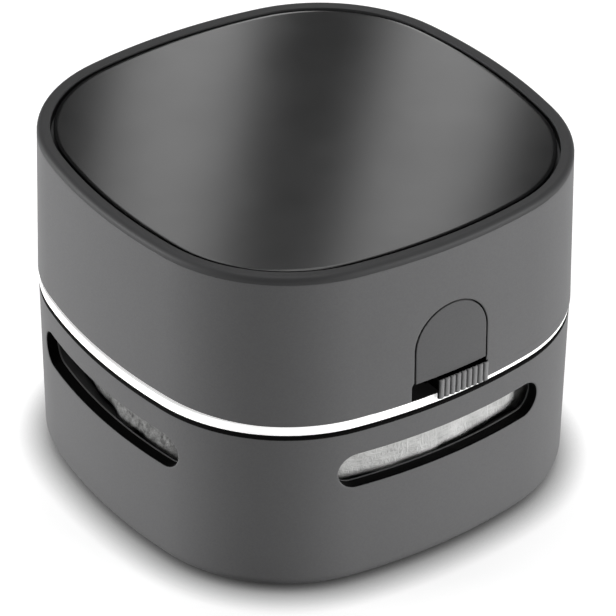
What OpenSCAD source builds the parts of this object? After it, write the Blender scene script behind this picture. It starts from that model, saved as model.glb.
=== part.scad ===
// Desktop mini vacuum cleaner, as an assembly.
// Millimetres. Floor at z = 0, +Z up, front (switch side) faces -Y, vertical axis in the middle.
// Three bodies sit on the dust box: the motor head lifts straight off, the
// switch knob slides sideways, and the impeller turns on the motor shaft.

/* [Outline] */
// Width across the sides at the top edge of the upper shell
body_width = 80; // [70:0.5:100]
// Roundness: the centres of the corner arcs lie 11 times this from the middle planes
roundness = 1.1; // [0.9:0.1:1.4]
// Thickness of both moulded shells
wall = 2.2; // [1.6:0.1:3]

/* [Heights] */
// Height of the rubber feet below the shell
foot_height = 1; // [0.6:0.1:3]
// Height of the lower shell
lower_height = 30.5; // [28:0.5:40]
// Dark gap between the lower shell and the white band
seam_gap = 0.4; // [0.3:0.1:1]
// Height of the white band, the visible edge of the chassis
band_height = 1.6; // [1.2:0.1:3]
// Height of the upper shell
upper_height = 26.1; // [24:0.5:40]

/* [Draft] */
// How far the upper shell widens from its top down to the seam
upper_flare = 0.7; // [0:0.1:1.5]
// How far the lower shell stands outside the top outline at the seam
lower_flare = 0.6; // [0:0.1:1.5]
// How far the lower shell draws in again towards the floor
lower_draft = 0.2; // [0:0.1:1.5]
// Rounding of the lower shell's bottom edge
base_round = 2.5; // [1:0.1:3.5]
// Rounding of the lower shell's top edge
rim_round = 0.4; // [0.2:0.1:0.8]

/* [Top] */
// Height of the soft trim's side above the upper shell
trim_side = 1.3; // [1:0.1:3]
// Width of the trim's top face
trim_width = 2.2; // [1.8:0.1:3.5]
// Rounding of the trim's outer edge
trim_round = 0.9; // [0.3:0.1:1]
// Width of the groove between the trim and the panel
groove_width = 0.55; // [0.3:0.05:1.2]
// How far the panel lies below the trim
panel_drop = 0.4; // [0.1:0.1:1]
// Thickness of the panel
panel_thickness = 1.6; // [1.2:0.1:2.5]
// Depth of the trim's shelf under the panel, and its spigot
trim_shelf = 3.8; // [2:0.1:6]
// How far the trim's spigot reaches into the shell
spigot_depth = 3; // [2:0.1:5]

/* [Vents] */
// Length of each vent, round ends included
vent_length = 39.7; // [20:0.5:46]
// Height of each vent
vent_height = 6.3; // [4.6:0.1:8]
// Distance from the lower shell's top edge to a vent
vent_drop = 5.1; // [4.5:0.1:7]

/* [Dust box] */
// Width of the flange that turns in under the lower shell
flange_width = 10; // [9.5:0.5:12]
// Thickness of that flange
flange_thickness = 2; // [1.8:0.1:2.6]
// Thickness of the base plate
base_thickness = 2; // [1.6:0.1:2.6]
// Gap between a piece and the wall that it drops into
fit_gap = 0.2; // [0.1:0.05:0.3]
// Bore radius of the suction inlet
inlet_radius = 8; // [6:0.5:9]
// Wall of the inlet duct
inlet_wall = 1.6; // [1:0.1:2]
// How far the duct stands up above the base plate
inlet_rise = 8; // [4:0.5:8.5]
// Width of the flange at the duct's mouth
inlet_flange = 3.4; // [2.5:0.1:4]
// Width of the brush ring
brush_width = 6; // [4.5:0.1:7]
// Depth of the brush ring in the base plate
brush_depth = 1.2; // [0.8:0.1:1.3]
// Gap between the bristle tips and the floor
bristle_lift = 0.2; // [0.1:0.1:0.5]
// Radius of one tuft of bristles
tuft_radius = 0.8; // [0.4:0.05:0.9]
// Tufts in each of the two rows
tufts = 30; // [12:1:36]
// Radius of a foot
foot_radius = 3.2; // [2:0.1:3.5]

/* [Filter and fan] */
// How far the filter's sides stand inside the outline
filter_inset = 3; // [2.8:0.1:6]
// Roundness of the filter: its corner arcs' centres lie 7 times this from the middle planes
filter_roundness = 1.6; // [1.4:0.1:1.8]
// Thickness of the filter sleeve
filter_thickness = 1.6; // [1:0.1:2.5]
// How far the filter hangs below the vents
filter_overhang = 1.6; // [0.5:0.1:3]
// Thickness of the cage's wall
cage_wall = 1.5; // [1.2:0.1:2]
// Width of one bar of the cage
cage_bar = 1.6; // [1:0.1:3]
// Height of the cage's closed rims
cage_rim = 1.4; // [1:0.1:2.2]
// Thickness of the fan floor
floor_thickness = 1.2; // [1:0.1:2]
// Radius of the hole in the fan floor
intake_radius = 13; // [10:0.5:14]
// Height of the rubber seal under the fan floor
seal_height = 1.1; // [0.8:0.1:1.6]
// Depth of the ledge that carries the seal
ledge_width = 2.4; // [1.8:0.1:3]
// Thickness of the ledge
ledge_thickness = 1; // [0.8:0.1:1.6]
// Radius of the impeller
impeller_radius = 26; // [20:0.5:27]
// Height of the impeller, shroud to back plate
impeller_height = 9.8; // [8:0.1:10]
// Gap under the impeller
impeller_gap = 0.9; // [0.6:0.1:1.5]
// Blades
blades = 9; // [5:1:13]
// Thickness of a blade
blade_thickness = 1; // [0.7:0.1:1.5]

/* [Motor] */
// Radius of the motor can
motor_radius = 12; // [10:0.1:12.5]
// Length of the motor can
motor_length = 16; // [14:0.5:18]
// Radius of the shaft
shaft_radius = 1; // [0.75:0.05:1.5]
// Running gap of the shaft in its bush
shaft_gap = 0.05; // [0.02:0.01:0.08]
// Wall of the brass bush
bush_wall = 1.15; // [0.8:0.05:1.5]
// Width of the clamp ring round the motor
clamp_width = 2.4; // [1.6:0.1:2.6]

/* [Battery] */
// Radius of the cell
cell_radius = 8; // [6:0.1:8.2]
// Height of the cell's underside above the chassis
cell_lift = 6.4; // [5:0.1:7]
// Length of the cell
cell_length = 34; // [28:0.5:40]

/* [Switch] */
// Width of the knob
knob_width = 10; // [7:0.1:11]
// Height of the knob's face
knob_height = 3.8; // [3:0.1:4.4]
// Thickness of the knob's face without its ribs
knob_face = 0.45; // [0.4:0.05:0.8]
// Height of the ribs
knob_rib = 0.4; // [0.3:0.05:0.6]
// Ribs
knob_ribs = 8; // [5:1:10]
// Travel of the switch
switch_travel = 4.7; // [3:0.1:5]
// Height of the notch in the upper shell
notch_height = 2.8; // [2.4:0.1:3.2]
// Clearance round the moving knob
knob_gap = 0.32; // [0.3:0.02:0.5]
// Width of the arched cover plate
arch_width = 14.2; // [10:0.1:16]
// Height of the arched cover plate
arch_height = 13; // [11:0.1:16]
// Depth of the plate in the shell
arch_depth = 1; // [0.6:0.1:1.3]
// Gap round the plate
arch_gap = 0.25; // [0.1:0.05:0.4]

/* [Hidden] */
$fn = 96;
eps = 0.01;
fixed_gap = 0.1;                 // between pieces fastened to each other

half_w = body_width / 2;
z_base = foot_height;
z_flange = z_base + flange_thickness;
z_base_top = z_flange + base_thickness;
z_lower_top = z_base + lower_height;
z_band = z_lower_top + seam_gap;
z_upper = z_band + band_height;
z_upper_top = z_upper + upper_height;
z_trim_top = z_upper_top + trim_side;
z_panel_top = z_trim_top - panel_drop;
z_panel = z_panel_top - panel_thickness;

z_vent_top = z_lower_top - vent_drop;
z_vent = z_vent_top - vent_height;
z_floor_top = z_vent - filter_overhang;      // the filter and cage stand on the fan floor
z_floor = z_floor_top - floor_thickness;
z_ledge = z_floor - seal_height;
z_skirt = z_vent_top + 2.3;
z_impeller = z_floor_top + impeller_gap;

// offsets from the nominal outline
function lower_o(z) = lower_flare - lower_draft * (z_lower_top - z) / lower_height;
function lower_in(z) = lower_o(z) - wall;
function upper_o(z) = upper_flare * (z_upper_top - z) / upper_height;
function upper_in(z) = upper_o(z) - wall;
band_o = (lower_flare + upper_flare) / 2 - 0.03;

// An outline is four side arcs and four corner arcs that meet in tangents. The line
// through the two centres runs along the long side of a right triangle in whole numbers,
// 11-60-61 or 7-24-25, so every centre and radius stays a round number at any size.
// [half width, corner centre, side centre's distance past the axis, distance between centres]
function outline(h, leg, base, k) = [h, leg * k, (base - leg) * k, norm([leg, base]) * k];
body = outline(half_w, 11, 60, roundness);
function side_r(f) = f[0] + f[2];
function corner_r(f) = side_r(f) - f[3];
corner_c = body[1];
corner_radius = corner_r(body);
function diagonal(o) = corner_c + (corner_radius + o) / sqrt(2);   // x = y of a point on the diagonal

filter = outline(half_w - filter_inset, 7, 24, filter_roundness);
cage_o = -filter_thickness - fixed_gap;
cage_in = cage_o - cage_wall;

screw_shank = 1.2;
screw_head = 2.3;
screw_head_height = 1.4;
boss_radius = 3.2;
column_radius = 2.6;
column = filter[1] + (corner_r(filter) + cage_o - 0.2 - column_radius) / sqrt(2);   // x = y of the four long screws
z_boss_top = z_upper + 11.5;

function arc(x, y, r, from, to, n = 6) =
    [for (i = [0 : n]) let (t = from + (to - from) * i / n) [x + r * cos(t), y + r * sin(t)]];

// where an arc's wedge is cut: on the line through both centres, far outside
function cut_at(f) = [-f[2] + 2.5 * (f[1] + f[2]), 2.5 * f[1]];

// sweeps a profile (x = offset from the outline, y = height) round an outline
module ring(f) {
    e = cut_at(f);
    for (q = [0 : 3]) rotate(90 * q) {
        intersection() {
            translate([-f[2], 0, 0]) rotate(180) rotate_extrude() translate([side_r(f), 0]) children();
            linear_extrude(100) polygon([[-f[2], 0], [e[0], -e[1]], e]);
        }
        intersection() {
            translate([f[1], f[1], 0]) rotate_extrude() translate([corner_r(f), 0]) children();
            linear_extrude(100) polygon([[f[1], f[1]], e, [e[0], e[0]], [e[1], e[0]]]);
        }
    }
}

// the same outline as a flat area, grown by an offset
module area(f, o) {
    e = cut_at(f);
    square(2 * f[1], center = true);
    for (q = [0 : 3]) rotate(90 * q) {
        intersection() {
            translate([-f[2], 0]) circle(side_r(f) + o);
            polygon([[0, 0], [f[1], -f[1]], [e[0], -e[1]], e, [f[1], f[1]]]);
        }
        translate([f[1], f[1]]) circle(corner_r(f) + o);
    }
}

module plate(o, z0, z1) translate([0, 0, z0]) linear_extrude(z1 - z0) area(body, o);

module at_corners(d) for (x = [-1, 1], y = [-1, 1]) translate([x * d, y * d, 0]) children();
module at_sides(d) for (q = [0 : 3]) rotate(90 * q) translate([0, -d, 0]) children();
module post(r, z0, z1) translate([0, 0, z0]) cylinder(r = r, h = z1 - z0);

// a slot with round ends, upright in the front side and cut along Y
module slot(length, height, depth) {
    rotate([90, 0, 0]) {
        for (x = [-1, 1]) translate([x * (length - height) / 2, 0, 0]) cylinder(d = height, h = depth);
        translate([-(length - height) / 2, -height / 2, 0]) cube([length - height, height, depth]);
    }
}

// ---------------------------------------------------------------- dust box

base_screw_at = half_w - 5.2;
foot_at = diagonal(-flange_width + foot_radius + 0.8);

module lower_shell() color("#4d4d4f") difference() {
    ring(body) polygon(concat(
        [[-flange_width, z_base]],
        arc(lower_o(z_base) - base_round, z_base + base_round, base_round, -90, 0),
        arc(lower_flare - rim_round, z_lower_top - rim_round, rim_round, 0, 90, 3),
        [[lower_in(z_lower_top), z_lower_top],
         [lower_in(z_ledge), z_ledge],
         [lower_in(z_ledge) - ledge_width, z_ledge],
         [lower_in(z_ledge) - ledge_width, z_ledge - ledge_thickness],
         [lower_in(z_ledge), z_ledge - ledge_thickness - ledge_width * 0.7],
         [lower_in(z_flange), z_flange],
         [-flange_width, z_flange]]));
    for (q = [0 : 3]) rotate(90 * q)
        translate([0, -half_w + 8, z_vent + vent_height / 2]) slot(vent_length, vent_height, 14);
    at_sides(base_screw_at) {
        post(screw_shank + 0.1, z_base - 1, z_flange + 1);
        post(2.2, z_base - 1, z_base + 1.1);
    }
    at_corners(foot_at) post(foot_radius + fixed_gap, z_base - 1, z_base + 0.4);
}

module base_plate() color("#3a3a3c") difference() {
    union() {
        plate(lower_in(z_flange) - fit_gap, z_flange, z_base_top);
        at_sides(base_screw_at) post(2.4, z_base_top - eps, z_base_top + 4);
        difference() {
            post(inlet_radius + inlet_wall + 2.4, z_base_top - eps, z_base_top + 1.6);
            post(inlet_radius + inlet_wall + fixed_gap, z_base_top - 1, z_base_top + 3);
        }
    }
    post(inlet_radius + inlet_wall + fixed_gap, z_flange - 1, z_base_top + 3);
    at_sides(base_screw_at) post(screw_shank + 0.05, z_flange - 1, z_base_top + 3.2);
    difference() {
        post(brush_in + brush_width + fixed_gap, z_flange - 1, z_flange + brush_depth);
        post(brush_in - fixed_gap, z_flange - 2, z_base_top);
    }
}

module inlet_duct() color("#2c2c2e") rotate_extrude() polygon(concat(
    [[inlet_radius + 1.2, z_flange - 1.2], [inlet_radius + inlet_wall + inlet_flange, z_flange - 1.2],
     [inlet_radius + inlet_wall + inlet_flange, z_flange],
     [inlet_radius + inlet_wall, z_flange], [inlet_radius + inlet_wall, z_base_top + inlet_rise - 0.5],
     [inlet_radius + inlet_wall - 0.5, z_base_top + inlet_rise], [inlet_radius, z_base_top + inlet_rise]],
    [[inlet_radius, z_flange]]));

brush_in = inlet_radius + inlet_wall + inlet_flange + 1;

module brush_ring() color("#232325") translate([0, 0, z_flange]) difference() {
    cylinder(r = brush_in + brush_width, h = brush_depth);
    translate([0, 0, -1]) cylinder(r = brush_in, h = brush_depth + 2);
}

// two staggered rows of tufts, splayed a little at their tips
module bristles() color("#8f9396") for (row = [0, 1], i = [0 : tufts - 1])
    rotate(360 / tufts * (i + row / 2))
        translate([brush_in + brush_width * (0.28 + 0.44 * row), 0, bristle_lift])
            cylinder(r1 = tuft_radius * 1.1, r2 = tuft_radius * 0.8, h = z_flange - bristle_lift, $fn = 16);

module feet() color("#1d1d1f") at_corners(foot_at) rotate_extrude() polygon(
    [[0, 0], [foot_radius - 0.4, 0], [foot_radius, 0.4], [foot_radius, z_base + 0.4], [0, z_base + 0.4]]);

module base_screws() color("#a9abad") at_sides(base_screw_at) difference() {
    union() {
        post(2, z_base + 0.1, z_base + 1.1);
        post(screw_shank, z_base + 1, z_base_top + 2.8);
    }
    for (a = [0, 90]) rotate(a) translate([-1.2, -0.25, z_base]) cube([2.4, 0.5, 0.6]);
}

module seal_ring() color("#19191a") ring(body) polygon(
    [[lower_in(z_ledge) - ledge_width + 0.2, z_ledge],
     [lower_in(z_ledge) - 0.15, z_ledge],
     [lower_in(z_ledge) - 0.15, z_ledge + seal_height - 0.3],
     [lower_in(z_ledge) - 0.45, z_ledge + seal_height],
     [lower_in(z_ledge) - ledge_width + 0.5, z_ledge + seal_height],
     [lower_in(z_ledge) - ledge_width + 0.2, z_ledge + seal_height - 0.3]]);

// ---------------------------------------------------------------- fan and filter

lift_gap = 0.45;                 // round everything that lifts out of the dust box

module fan_floor() color("#2b2b2d") difference() {
    plate(lower_in(z_floor) - lift_gap, z_floor, z_floor_top);
    post(intake_radius, z_floor - 1, z_floor_top + 1);
    at_corners(column) post(screw_shank + 0.2, z_floor - 1, z_floor_top + 1);
}

// eight spokes between a small hub and a rim, wide enough apart for crumbs
module intake_grille() color("#2b2b2d") translate([0, 0, z_floor - 1.4]) {
    difference() {
        cylinder(r = intake_radius + 1.6, h = 1.4);
        translate([0, 0, -1]) cylinder(r = intake_radius + 0.2, h = 4);
    }
    cylinder(r = intake_radius * 0.2, h = 1.4);
    for (q = [0 : 7]) rotate(45 * q) translate([intake_radius * 0.2 - 0.5, -0.45, 0])
        cube([intake_radius * 0.8 + 1.3, 0.9, 1.4]);
}

// a soft white sleeve, full in the middle and drawn in towards its edges
module filter_sleeve() color("#e9e9e6") ring(filter) polygon(concat(
    [for (i = [0 : 10]) let (t = i / 10) [-1.1 * pow(abs(2 * t - 1), 2.6), z_floor_top + (z_skirt - 0.2 - z_floor_top) * t]],
    [[-filter_thickness, z_skirt - 0.2], [-filter_thickness, z_floor_top]]));

// open frame inside the sleeve; its columns take the four long screws
module fan_cage() color("#343436") difference() {
    union() {
        ring(filter) translate([cage_in, z_floor_top]) square([cage_wall, z_band - z_floor_top]);
        at_corners(column) post(column_radius, z_floor_top, z_band);
    }
    cage_windows();
    at_corners(column) post(screw_shank + 0.2, z_floor_top - 1, z_band + 1);
}

// four windows in each side and one on each hand of a column
module cage_windows() {
    b = atan2(filter[1], filter[1] + filter[2]);
    side_bar = cage_bar / side_r(filter) * 180 / PI;
    corner_bar = cage_bar / corner_r(filter) * 180 / PI;
    pitch = 2 * b / 4;
    span = 45 - b - atan2(column_radius + 0.4, corner_r(filter) + cage_in);
    for (q = [0 : 3]) rotate(90 * q) {
        for (k = [-2 : 1]) translate([-filter[2], 0, 0])
            cage_window(side_r(filter), k * pitch + side_bar / 2, pitch - side_bar);
        translate([filter[1], filter[1], 0]) {
            cage_window(corner_r(filter), b + corner_bar / 2, span - corner_bar / 2);
            cage_window(corner_r(filter), 90 - b - span, span - corner_bar / 2);
        }
    }
}

module cage_window(r, from, sweep) rotate(from) rotate_extrude(angle = sweep)
    translate([r + cage_in - 1, z_floor_top + cage_rim]) square([cage_wall + 2, z_skirt - z_floor_top - 2 * cage_rim]);

hub_radius = 4.5;
eye_radius = intake_radius - 0.5;

// closed centrifugal impeller: back plate with its hub above, curved blades, shroud welded on below
shroud_thickness = 0.8;
back_thickness = 1;
z_blades = z_impeller + shroud_thickness;
z_back = z_impeller + impeller_height - back_thickness;

module impeller() color("#5a5f66") difference() {
    union() {
        post(impeller_radius, z_back, z_back + back_thickness);
        post(hub_radius, z_impeller + 1.5, z_back + back_thickness + 1);
    }
    post(shaft_radius + 0.02, z_impeller, z_impeller + impeller_height + 2);
}

module impeller_shroud() color("#5a5f66") difference() {
    post(impeller_radius, z_impeller, z_blades);
    post(eye_radius, z_impeller - 1, z_impeller + 2);
}

module impeller_blades() color("#5a5f66") for (i = [0 : blades - 1]) rotate(360 / blades * i) blade();

// one blade: an arc wall from near the hub out to the rim
blade_root = 9;
blade_sweep = 18;
module blade() {
    // circle through (blade_root, 0) and the rim point at blade_sweep degrees behind it
    tip = [impeller_radius * cos(blade_sweep * 2), -impeller_radius * sin(blade_sweep * 2)];
    root = [blade_root, 0];
    chord = norm(tip - root);
    R = chord * 0.9;
    mid = (tip + root) / 2;
    dir = (tip - root) / chord;
    centre = mid + [dir[1], -dir[0]] * sqrt(R * R - chord * chord / 4);
    a0 = atan2(tip[1] - centre[1], tip[0] - centre[0]);
    a1 = atan2(root[1] - centre[1], root[0] - centre[0]);
    intersection() {
        translate([centre[0], centre[1], z_blades]) rotate(a0)
            rotate_extrude(angle = a1 - a0) translate([R - blade_thickness / 2, 0])
                square([blade_thickness, z_back - z_blades]);
        post(impeller_radius - 0.3, z_impeller, z_impeller + impeller_height);
    }
}

z_shaft = z_impeller + 0.9;
module motor_shaft() color("#c9ccd0") post(shaft_radius, z_shaft, z_upper + 4);

// ---------------------------------------------------------------- chassis and drive

motor_hole = shaft_radius + shaft_gap + bush_wall + 1.75;
clamp_at = motor_radius + fixed_gap + clamp_width + 4.3;
z_clamp = z_upper + motor_length - 5.5;
cell_y = motor_radius + fixed_gap + clamp_width + 0.6 + cell_radius;
z_cell = z_upper + cell_lift + cell_radius;
board_y = half_w - 9.4;          // middle of the switch board, behind the front wall
board_half = 16;
board_height = 16;
board_thickness = 1.2;

module mid_frame() color("#f4f4f2") difference() {
    union() {
        plate(band_o, z_band, z_upper);
        ring(body) polygon([[lower_in(z_lower_top) - lift_gap - 1.4, z_skirt], [lower_in(z_lower_top) - lift_gap, z_skirt + 0.4],
                             [lower_in(z_lower_top) - lift_gap, z_band + eps], [lower_in(z_lower_top) - lift_gap - 1.4, z_band + eps]]);
        difference() {
            post(motor_radius + fixed_gap + 1.6, z_upper - eps, z_upper + 2);
            post(motor_radius + fixed_gap, z_upper - 1, z_upper + 3);
        }
        for (x = [-1, 1]) translate([x * clamp_at, 0, 0]) post(2.8, z_upper - eps, z_clamp);
        for (x = [-1, 1]) translate([x * board_half - 1.6, -board_y - 2, z_upper - eps]) cube([3.2, 4, 8]);
        for (x = [-1, 1]) translate([x * 6, half_w - 5.6, 0]) post(1.4, z_upper - eps, z_usb_board);
    }
    post(motor_hole + fixed_gap, z_band - 1, z_upper + 1);
    at_corners(column) post(screw_shank + 0.2, z_band - 1, z_upper + 1);
    for (x = [-1, 1]) translate([x * clamp_at, 0, 0]) post(screw_shank - 0.15, z_clamp - 7, z_clamp + 1);
    translate([-board_half - 0.1, -board_y - board_thickness / 2 - 0.05, z_upper])
        cube([2 * board_half + 0.2, board_thickness + 0.1, 12]);
}

// can with its boss, open below for the bush and the shaft
module motor_can() color("#b4b8bd") rotate_extrude() polygon([
    [shaft_radius + 0.5, z_upper + 1], [shaft_radius + shaft_gap + bush_wall + 0.03, z_upper + 1],
    [shaft_radius + shaft_gap + bush_wall + 0.03, z_band + 0.4], [motor_hole, z_band + 0.4],
    [motor_hole, z_upper], [motor_radius - 0.6, z_upper], [motor_radius, z_upper + 0.6],
    [motor_radius, z_upper + motor_length - 0.6], [motor_radius - 0.6, z_upper + motor_length],
    [0, z_upper + motor_length], [0, z_upper + 5], [shaft_radius + 0.5, z_upper + 5]]);

module motor_bush() color("#b08d4f") translate([0, 0, z_band + 0.1]) difference() {
    cylinder(r = shaft_radius + shaft_gap + bush_wall, h = band_height + 0.8);
    translate([0, 0, -1]) cylinder(r = shaft_radius + shaft_gap, h = band_height + 3);
}

module motor_end_cap() color("#26262a") translate([0, 0, z_upper + motor_length]) difference() {
    union() {
        cylinder(r = motor_radius - 1.2, h = 1.4);
        cylinder(r = 3, h = 2.4);
    }
    for (x = [-1, 1]) translate([x * 7, 0, 0]) translate([-1.3, -0.35, -1]) cube([2.6, 0.7, 4]);
}

module motor_terminals() color("#c8a24a") for (x = [-1, 1])
    translate([x * 7 - 1.2, -0.25, z_upper + motor_length]) difference() {
        cube([2.4, 0.5, 4.2]);
        translate([1.2, 2, 3]) rotate([90, 0, 0]) cylinder(r = 0.6, h = 4);
    }

module motor_clamp() color("#38383b") translate([0, 0, z_clamp]) difference() {
    union() {
        cylinder(r = motor_radius + fixed_gap + clamp_width, h = 3);
        for (x = [-1, 1]) {
            translate([x * clamp_at, 0, 0]) cylinder(r = 2.8, h = 2.2);
            translate([x * (motor_radius + clamp_at) / 2 - (clamp_at - motor_radius) / 2, -2.8, 0])
                cube([clamp_at - motor_radius, 5.6, 2.2]);
        }
    }
    translate([0, 0, -1]) cylinder(r = motor_radius + fixed_gap, h = 6);
    for (x = [-1, 1]) translate([x * clamp_at, 0, -1]) cylinder(r = screw_shank + 0.1, h = 6);
}

module clamp_screws() color("#a9abad") for (x = [-1, 1]) translate([x * clamp_at, 0, 0]) difference() {
    union() {
        post(2.1, z_clamp + 2.2, z_clamp + 3.4);
        post(screw_shank - 0.2, z_clamp - 6, z_clamp + 2.3);
    }
    for (a = [0, 90]) rotate(a) translate([-1.2, -0.25, z_clamp + 2.9]) cube([2.4, 0.5, 1]);
}

module long_screws() color("#a9abad") at_corners(column) difference() {
    union() {
        post(screw_head, z_floor - screw_head_height, z_floor);
        post(screw_shank, z_floor - 0.1, z_boss_top - 1.5);
    }
    for (a = [0, 90]) rotate(a) translate([-1.4, -0.3, z_floor - screw_head_height - 0.2]) cube([2.8, 0.6, 0.9]);
}

module battery_cradle() color("#3a3a3c") difference() {
    for (x = [-1, 1]) translate([x * (cell_length / 2 - 5) - 1.2, cell_y - cell_radius * 0.9, z_upper])
        cube([2.4, cell_radius * 1.8, z_cell - z_upper]);
    translate([-cell_length, cell_y, z_cell]) rotate([0, 90, 0]) cylinder(r = cell_radius + 0.05, h = 2 * cell_length);
}

module battery_cell() color("#3f6f8f") translate([-cell_length / 2, cell_y, z_cell]) rotate([0, 90, 0])
    rotate_extrude() polygon([[0, 0], [cell_radius - 0.6, 0], [cell_radius, 0.6], [cell_radius, cell_length - 0.6],
                              [cell_radius - 0.6, cell_length], [0, cell_length]]);

module battery_contacts() color("#c9ccd0") for (x = [-1, 1])
    translate([x * (cell_length / 2 + 0.2) - 0.2, cell_y - 3, z_cell - 4]) cube([0.4, 6, 8]);

module switch_board() color("#2e6b46") translate([-board_half, -board_y - board_thickness / 2, z_upper]) difference() {
    cube([2 * board_half, board_thickness, board_height]);
    for (x = [3, 2 * board_half - 3]) translate([x, 3, board_height - 3]) rotate([90, 0, 0]) cylinder(r = 1.1, h = 6);
}

// coil, chip, capacitor and lamp on the back of the board
module board_parts() color("#3b3f45") translate([0, -board_y + board_thickness / 2, z_upper]) {
    translate([-board_half * 0.56, 0, board_height * 0.56]) rotate([-90, 0, 0]) cylinder(r = 3, h = 3);
    translate([0, 0, board_height * 0.28]) cube([6, 1.4, 5]);
    translate([board_half * 0.6, 0, board_height * 0.38]) rotate([-90, 0, 0]) cylinder(r = 2, h = 4.5);
    translate([2, 0, board_height * 0.75]) cube([2.4, 0.8, 1.6]);
}

usb_length = 9;
usb_height = 3.2;
z_usb_board = z_upper + 2.5;
z_usb = z_usb_board + 1 + usb_height / 2;

module usb_board() color("#2e6b46") translate([-8, half_w - 8.4, z_usb_board]) cube([16, 6, 1]);

module usb_socket() color("#c9ccd0") translate([0, half_w - 0.9, z_usb]) {
    difference() {
        slot(usb_length, usb_height, 6);
        translate([0, 1, 0]) slot(usb_length - 0.7, usb_height - 0.7, 6.2);
    }
    translate([-3.2, -5.5, -0.35]) cube([6.4, 4.5, 0.7]);
}

// ---------------------------------------------------------------- upper casing

notch_width = knob_width + switch_travel + 0.3;   // the knob's stem runs from end to end

// the arch, drawn upright in the front side: a round top on straight sides
module arch_area(grow) {
    intersection() {
        translate([0, z_arch + arch_height - arch_width / 2]) circle(arch_width / 2 + grow);
        translate([-arch_width, z_arch + arch_height - arch_width / 2]) square([2 * arch_width, arch_width]);
    }
    translate([-arch_width / 2 - grow, z_arch - grow]) square([arch_width + 2 * grow, arch_height - arch_width / 2 + grow]);
}
z_arch = z_upper + notch_height + 0.3;

module front_prism() translate([0, -half_w + 6, 0]) rotate([90, 0, 0]) linear_extrude(14) children();

// a layer under the upper shell's outer face, from one depth to another
module skin(from, to) ring(body) polygon(
    [[upper_flare - to, z_upper], [upper_flare - from, z_upper], [-from, z_upper_top], [-to, z_upper_top]]);

module upper_shell() color("#4d4d4f") difference() {
    union() {
        ring(body) polygon([[upper_flare - wall, z_upper], [upper_flare, z_upper], [0, z_upper_top],
                             [-wall + 1, z_upper_top], [-wall + 1, z_upper_top - spigot_depth - 0.2],
                             [upper_in(z_upper_top - spigot_depth - 0.2), z_upper_top - spigot_depth - 0.2]]);
        at_corners(column) post(boss_radius, z_upper, z_boss_top);
        for (q = [0 : 3]) rotate(45 + 90 * q)
            translate([column * sqrt(2) + boss_radius - 0.8, -0.8, z_upper])
                cube([diagonal(upper_in(z_upper) + 0.5) * sqrt(2) - column * sqrt(2) - boss_radius + 0.8, 1.6, z_boss_top - z_upper]);
    }
    at_corners(column) post(screw_shank + 0.05, z_upper - 1, z_boss_top - 1);
    translate([-notch_width / 2, -half_w - 3, z_upper - 1]) cube([notch_width, 7, notch_height + 1]);
    intersection() {
        skin(-1, arch_depth);
        front_prism() {
            arch_area(arch_gap);
            translate([-arch_width / 2 - arch_gap, z_upper + notch_height - 0.5]) square([arch_width + 2 * arch_gap, 2]);
        }
    }
    translate([0, half_w + 3, z_usb]) slot(usb_length + 0.8, usb_height + 0.8, 8);
}

module arch_plate() color("#464648") intersection() {
    skin(0, arch_depth);
    front_prism() arch_area(0);
}

module top_trim() color("#262628") ring(body) polygon(concat(
    [[0, z_upper_top]],
    arc(-trim_round, z_trim_top - trim_round, trim_round, 0, 90, 5),
    [[-trim_width, z_trim_top - 0.15], [-trim_width, z_panel], [-trim_width - trim_shelf, z_panel],
     [-trim_width - trim_shelf, z_panel - 1], [-trim_width, z_panel - 1],
     [-trim_width, z_upper_top - spigot_depth],
     [-wall + 1 - fixed_gap, z_upper_top - spigot_depth], [-wall + 1 - fixed_gap, z_upper_top]]));

module top_panel() color("#3c3c3e") {
    plate(-trim_width - groove_width, z_panel, z_panel_top);
}

// ---------------------------------------------------------------- switch

knob_x = switch_travel / 2;             // at rest the knob is at the right end
z_knob = z_upper - 1.1;
knob_back = half_w + upper_flare + knob_gap - 0.07;

module switch_knob() color("#6a6a6c") difference() {
    union() {
        translate([knob_x - knob_width / 2, -knob_back - knob_face, z_knob]) cube([knob_width, knob_face, knob_height]);
        for (i = [0 : knob_ribs - 1])
            translate([knob_x - knob_width / 2 + (i + 0.12) * knob_width / knob_ribs, -knob_back - knob_face - knob_rib, z_knob])
                cube([knob_width / knob_ribs * 0.76, knob_rib + eps, knob_height]);
        translate([knob_x - knob_width / 2 + 0.5, -knob_back - eps, z_upper + knob_gap])
            cube([knob_width - 1, wall + 1.0, notch_height - 2 * knob_gap]);
        translate([knob_x - knob_width / 2, -knob_back + wall + 0.9, z_upper + knob_gap]) cube([knob_width, 0.9, notch_height + 0.6]);
    }
}

lever_y = -knob_back + wall + 1.8;                 // back face of the knob's inner flange
switch_front = board_y + board_thickness / 2 + 4.1;

module switch_lever() color("#1d1d1f") translate([knob_x - 1, lever_y, z_upper + 0.8])
    cube([2, -switch_front + 1.6 - lever_y, 1.6]);

module slide_switch() color("#8d9196") translate([-6.4, -switch_front, z_upper]) difference() {
    cube([12.8, switch_front - board_y - board_thickness / 2, 3.6]);
    translate([6.4 - switch_travel / 2 - 1 - knob_gap, -1, 0.8 - knob_gap]) cube([switch_travel + 2 + 2 * knob_gap, 1 + 1.6 + knob_gap, 1.6 + 2 * knob_gap]);
}

lower_shell();
base_plate();
inlet_duct();
brush_ring();
bristles();
feet();
base_screws();
seal_ring();
fan_floor();
intake_grille();
filter_sleeve();
fan_cage();
impeller();
impeller_blades();
impeller_shroud();
motor_shaft();
mid_frame();
motor_can();
motor_bush();
motor_end_cap();
motor_terminals();
motor_clamp();
clamp_screws();
long_screws();
battery_cradle();
battery_cell();
battery_contacts();
switch_board();
board_parts();
usb_board();
usb_socket();
upper_shell();
arch_plate();
top_trim();
top_panel();
switch_knob();
switch_lever();
slide_switch();
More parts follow.
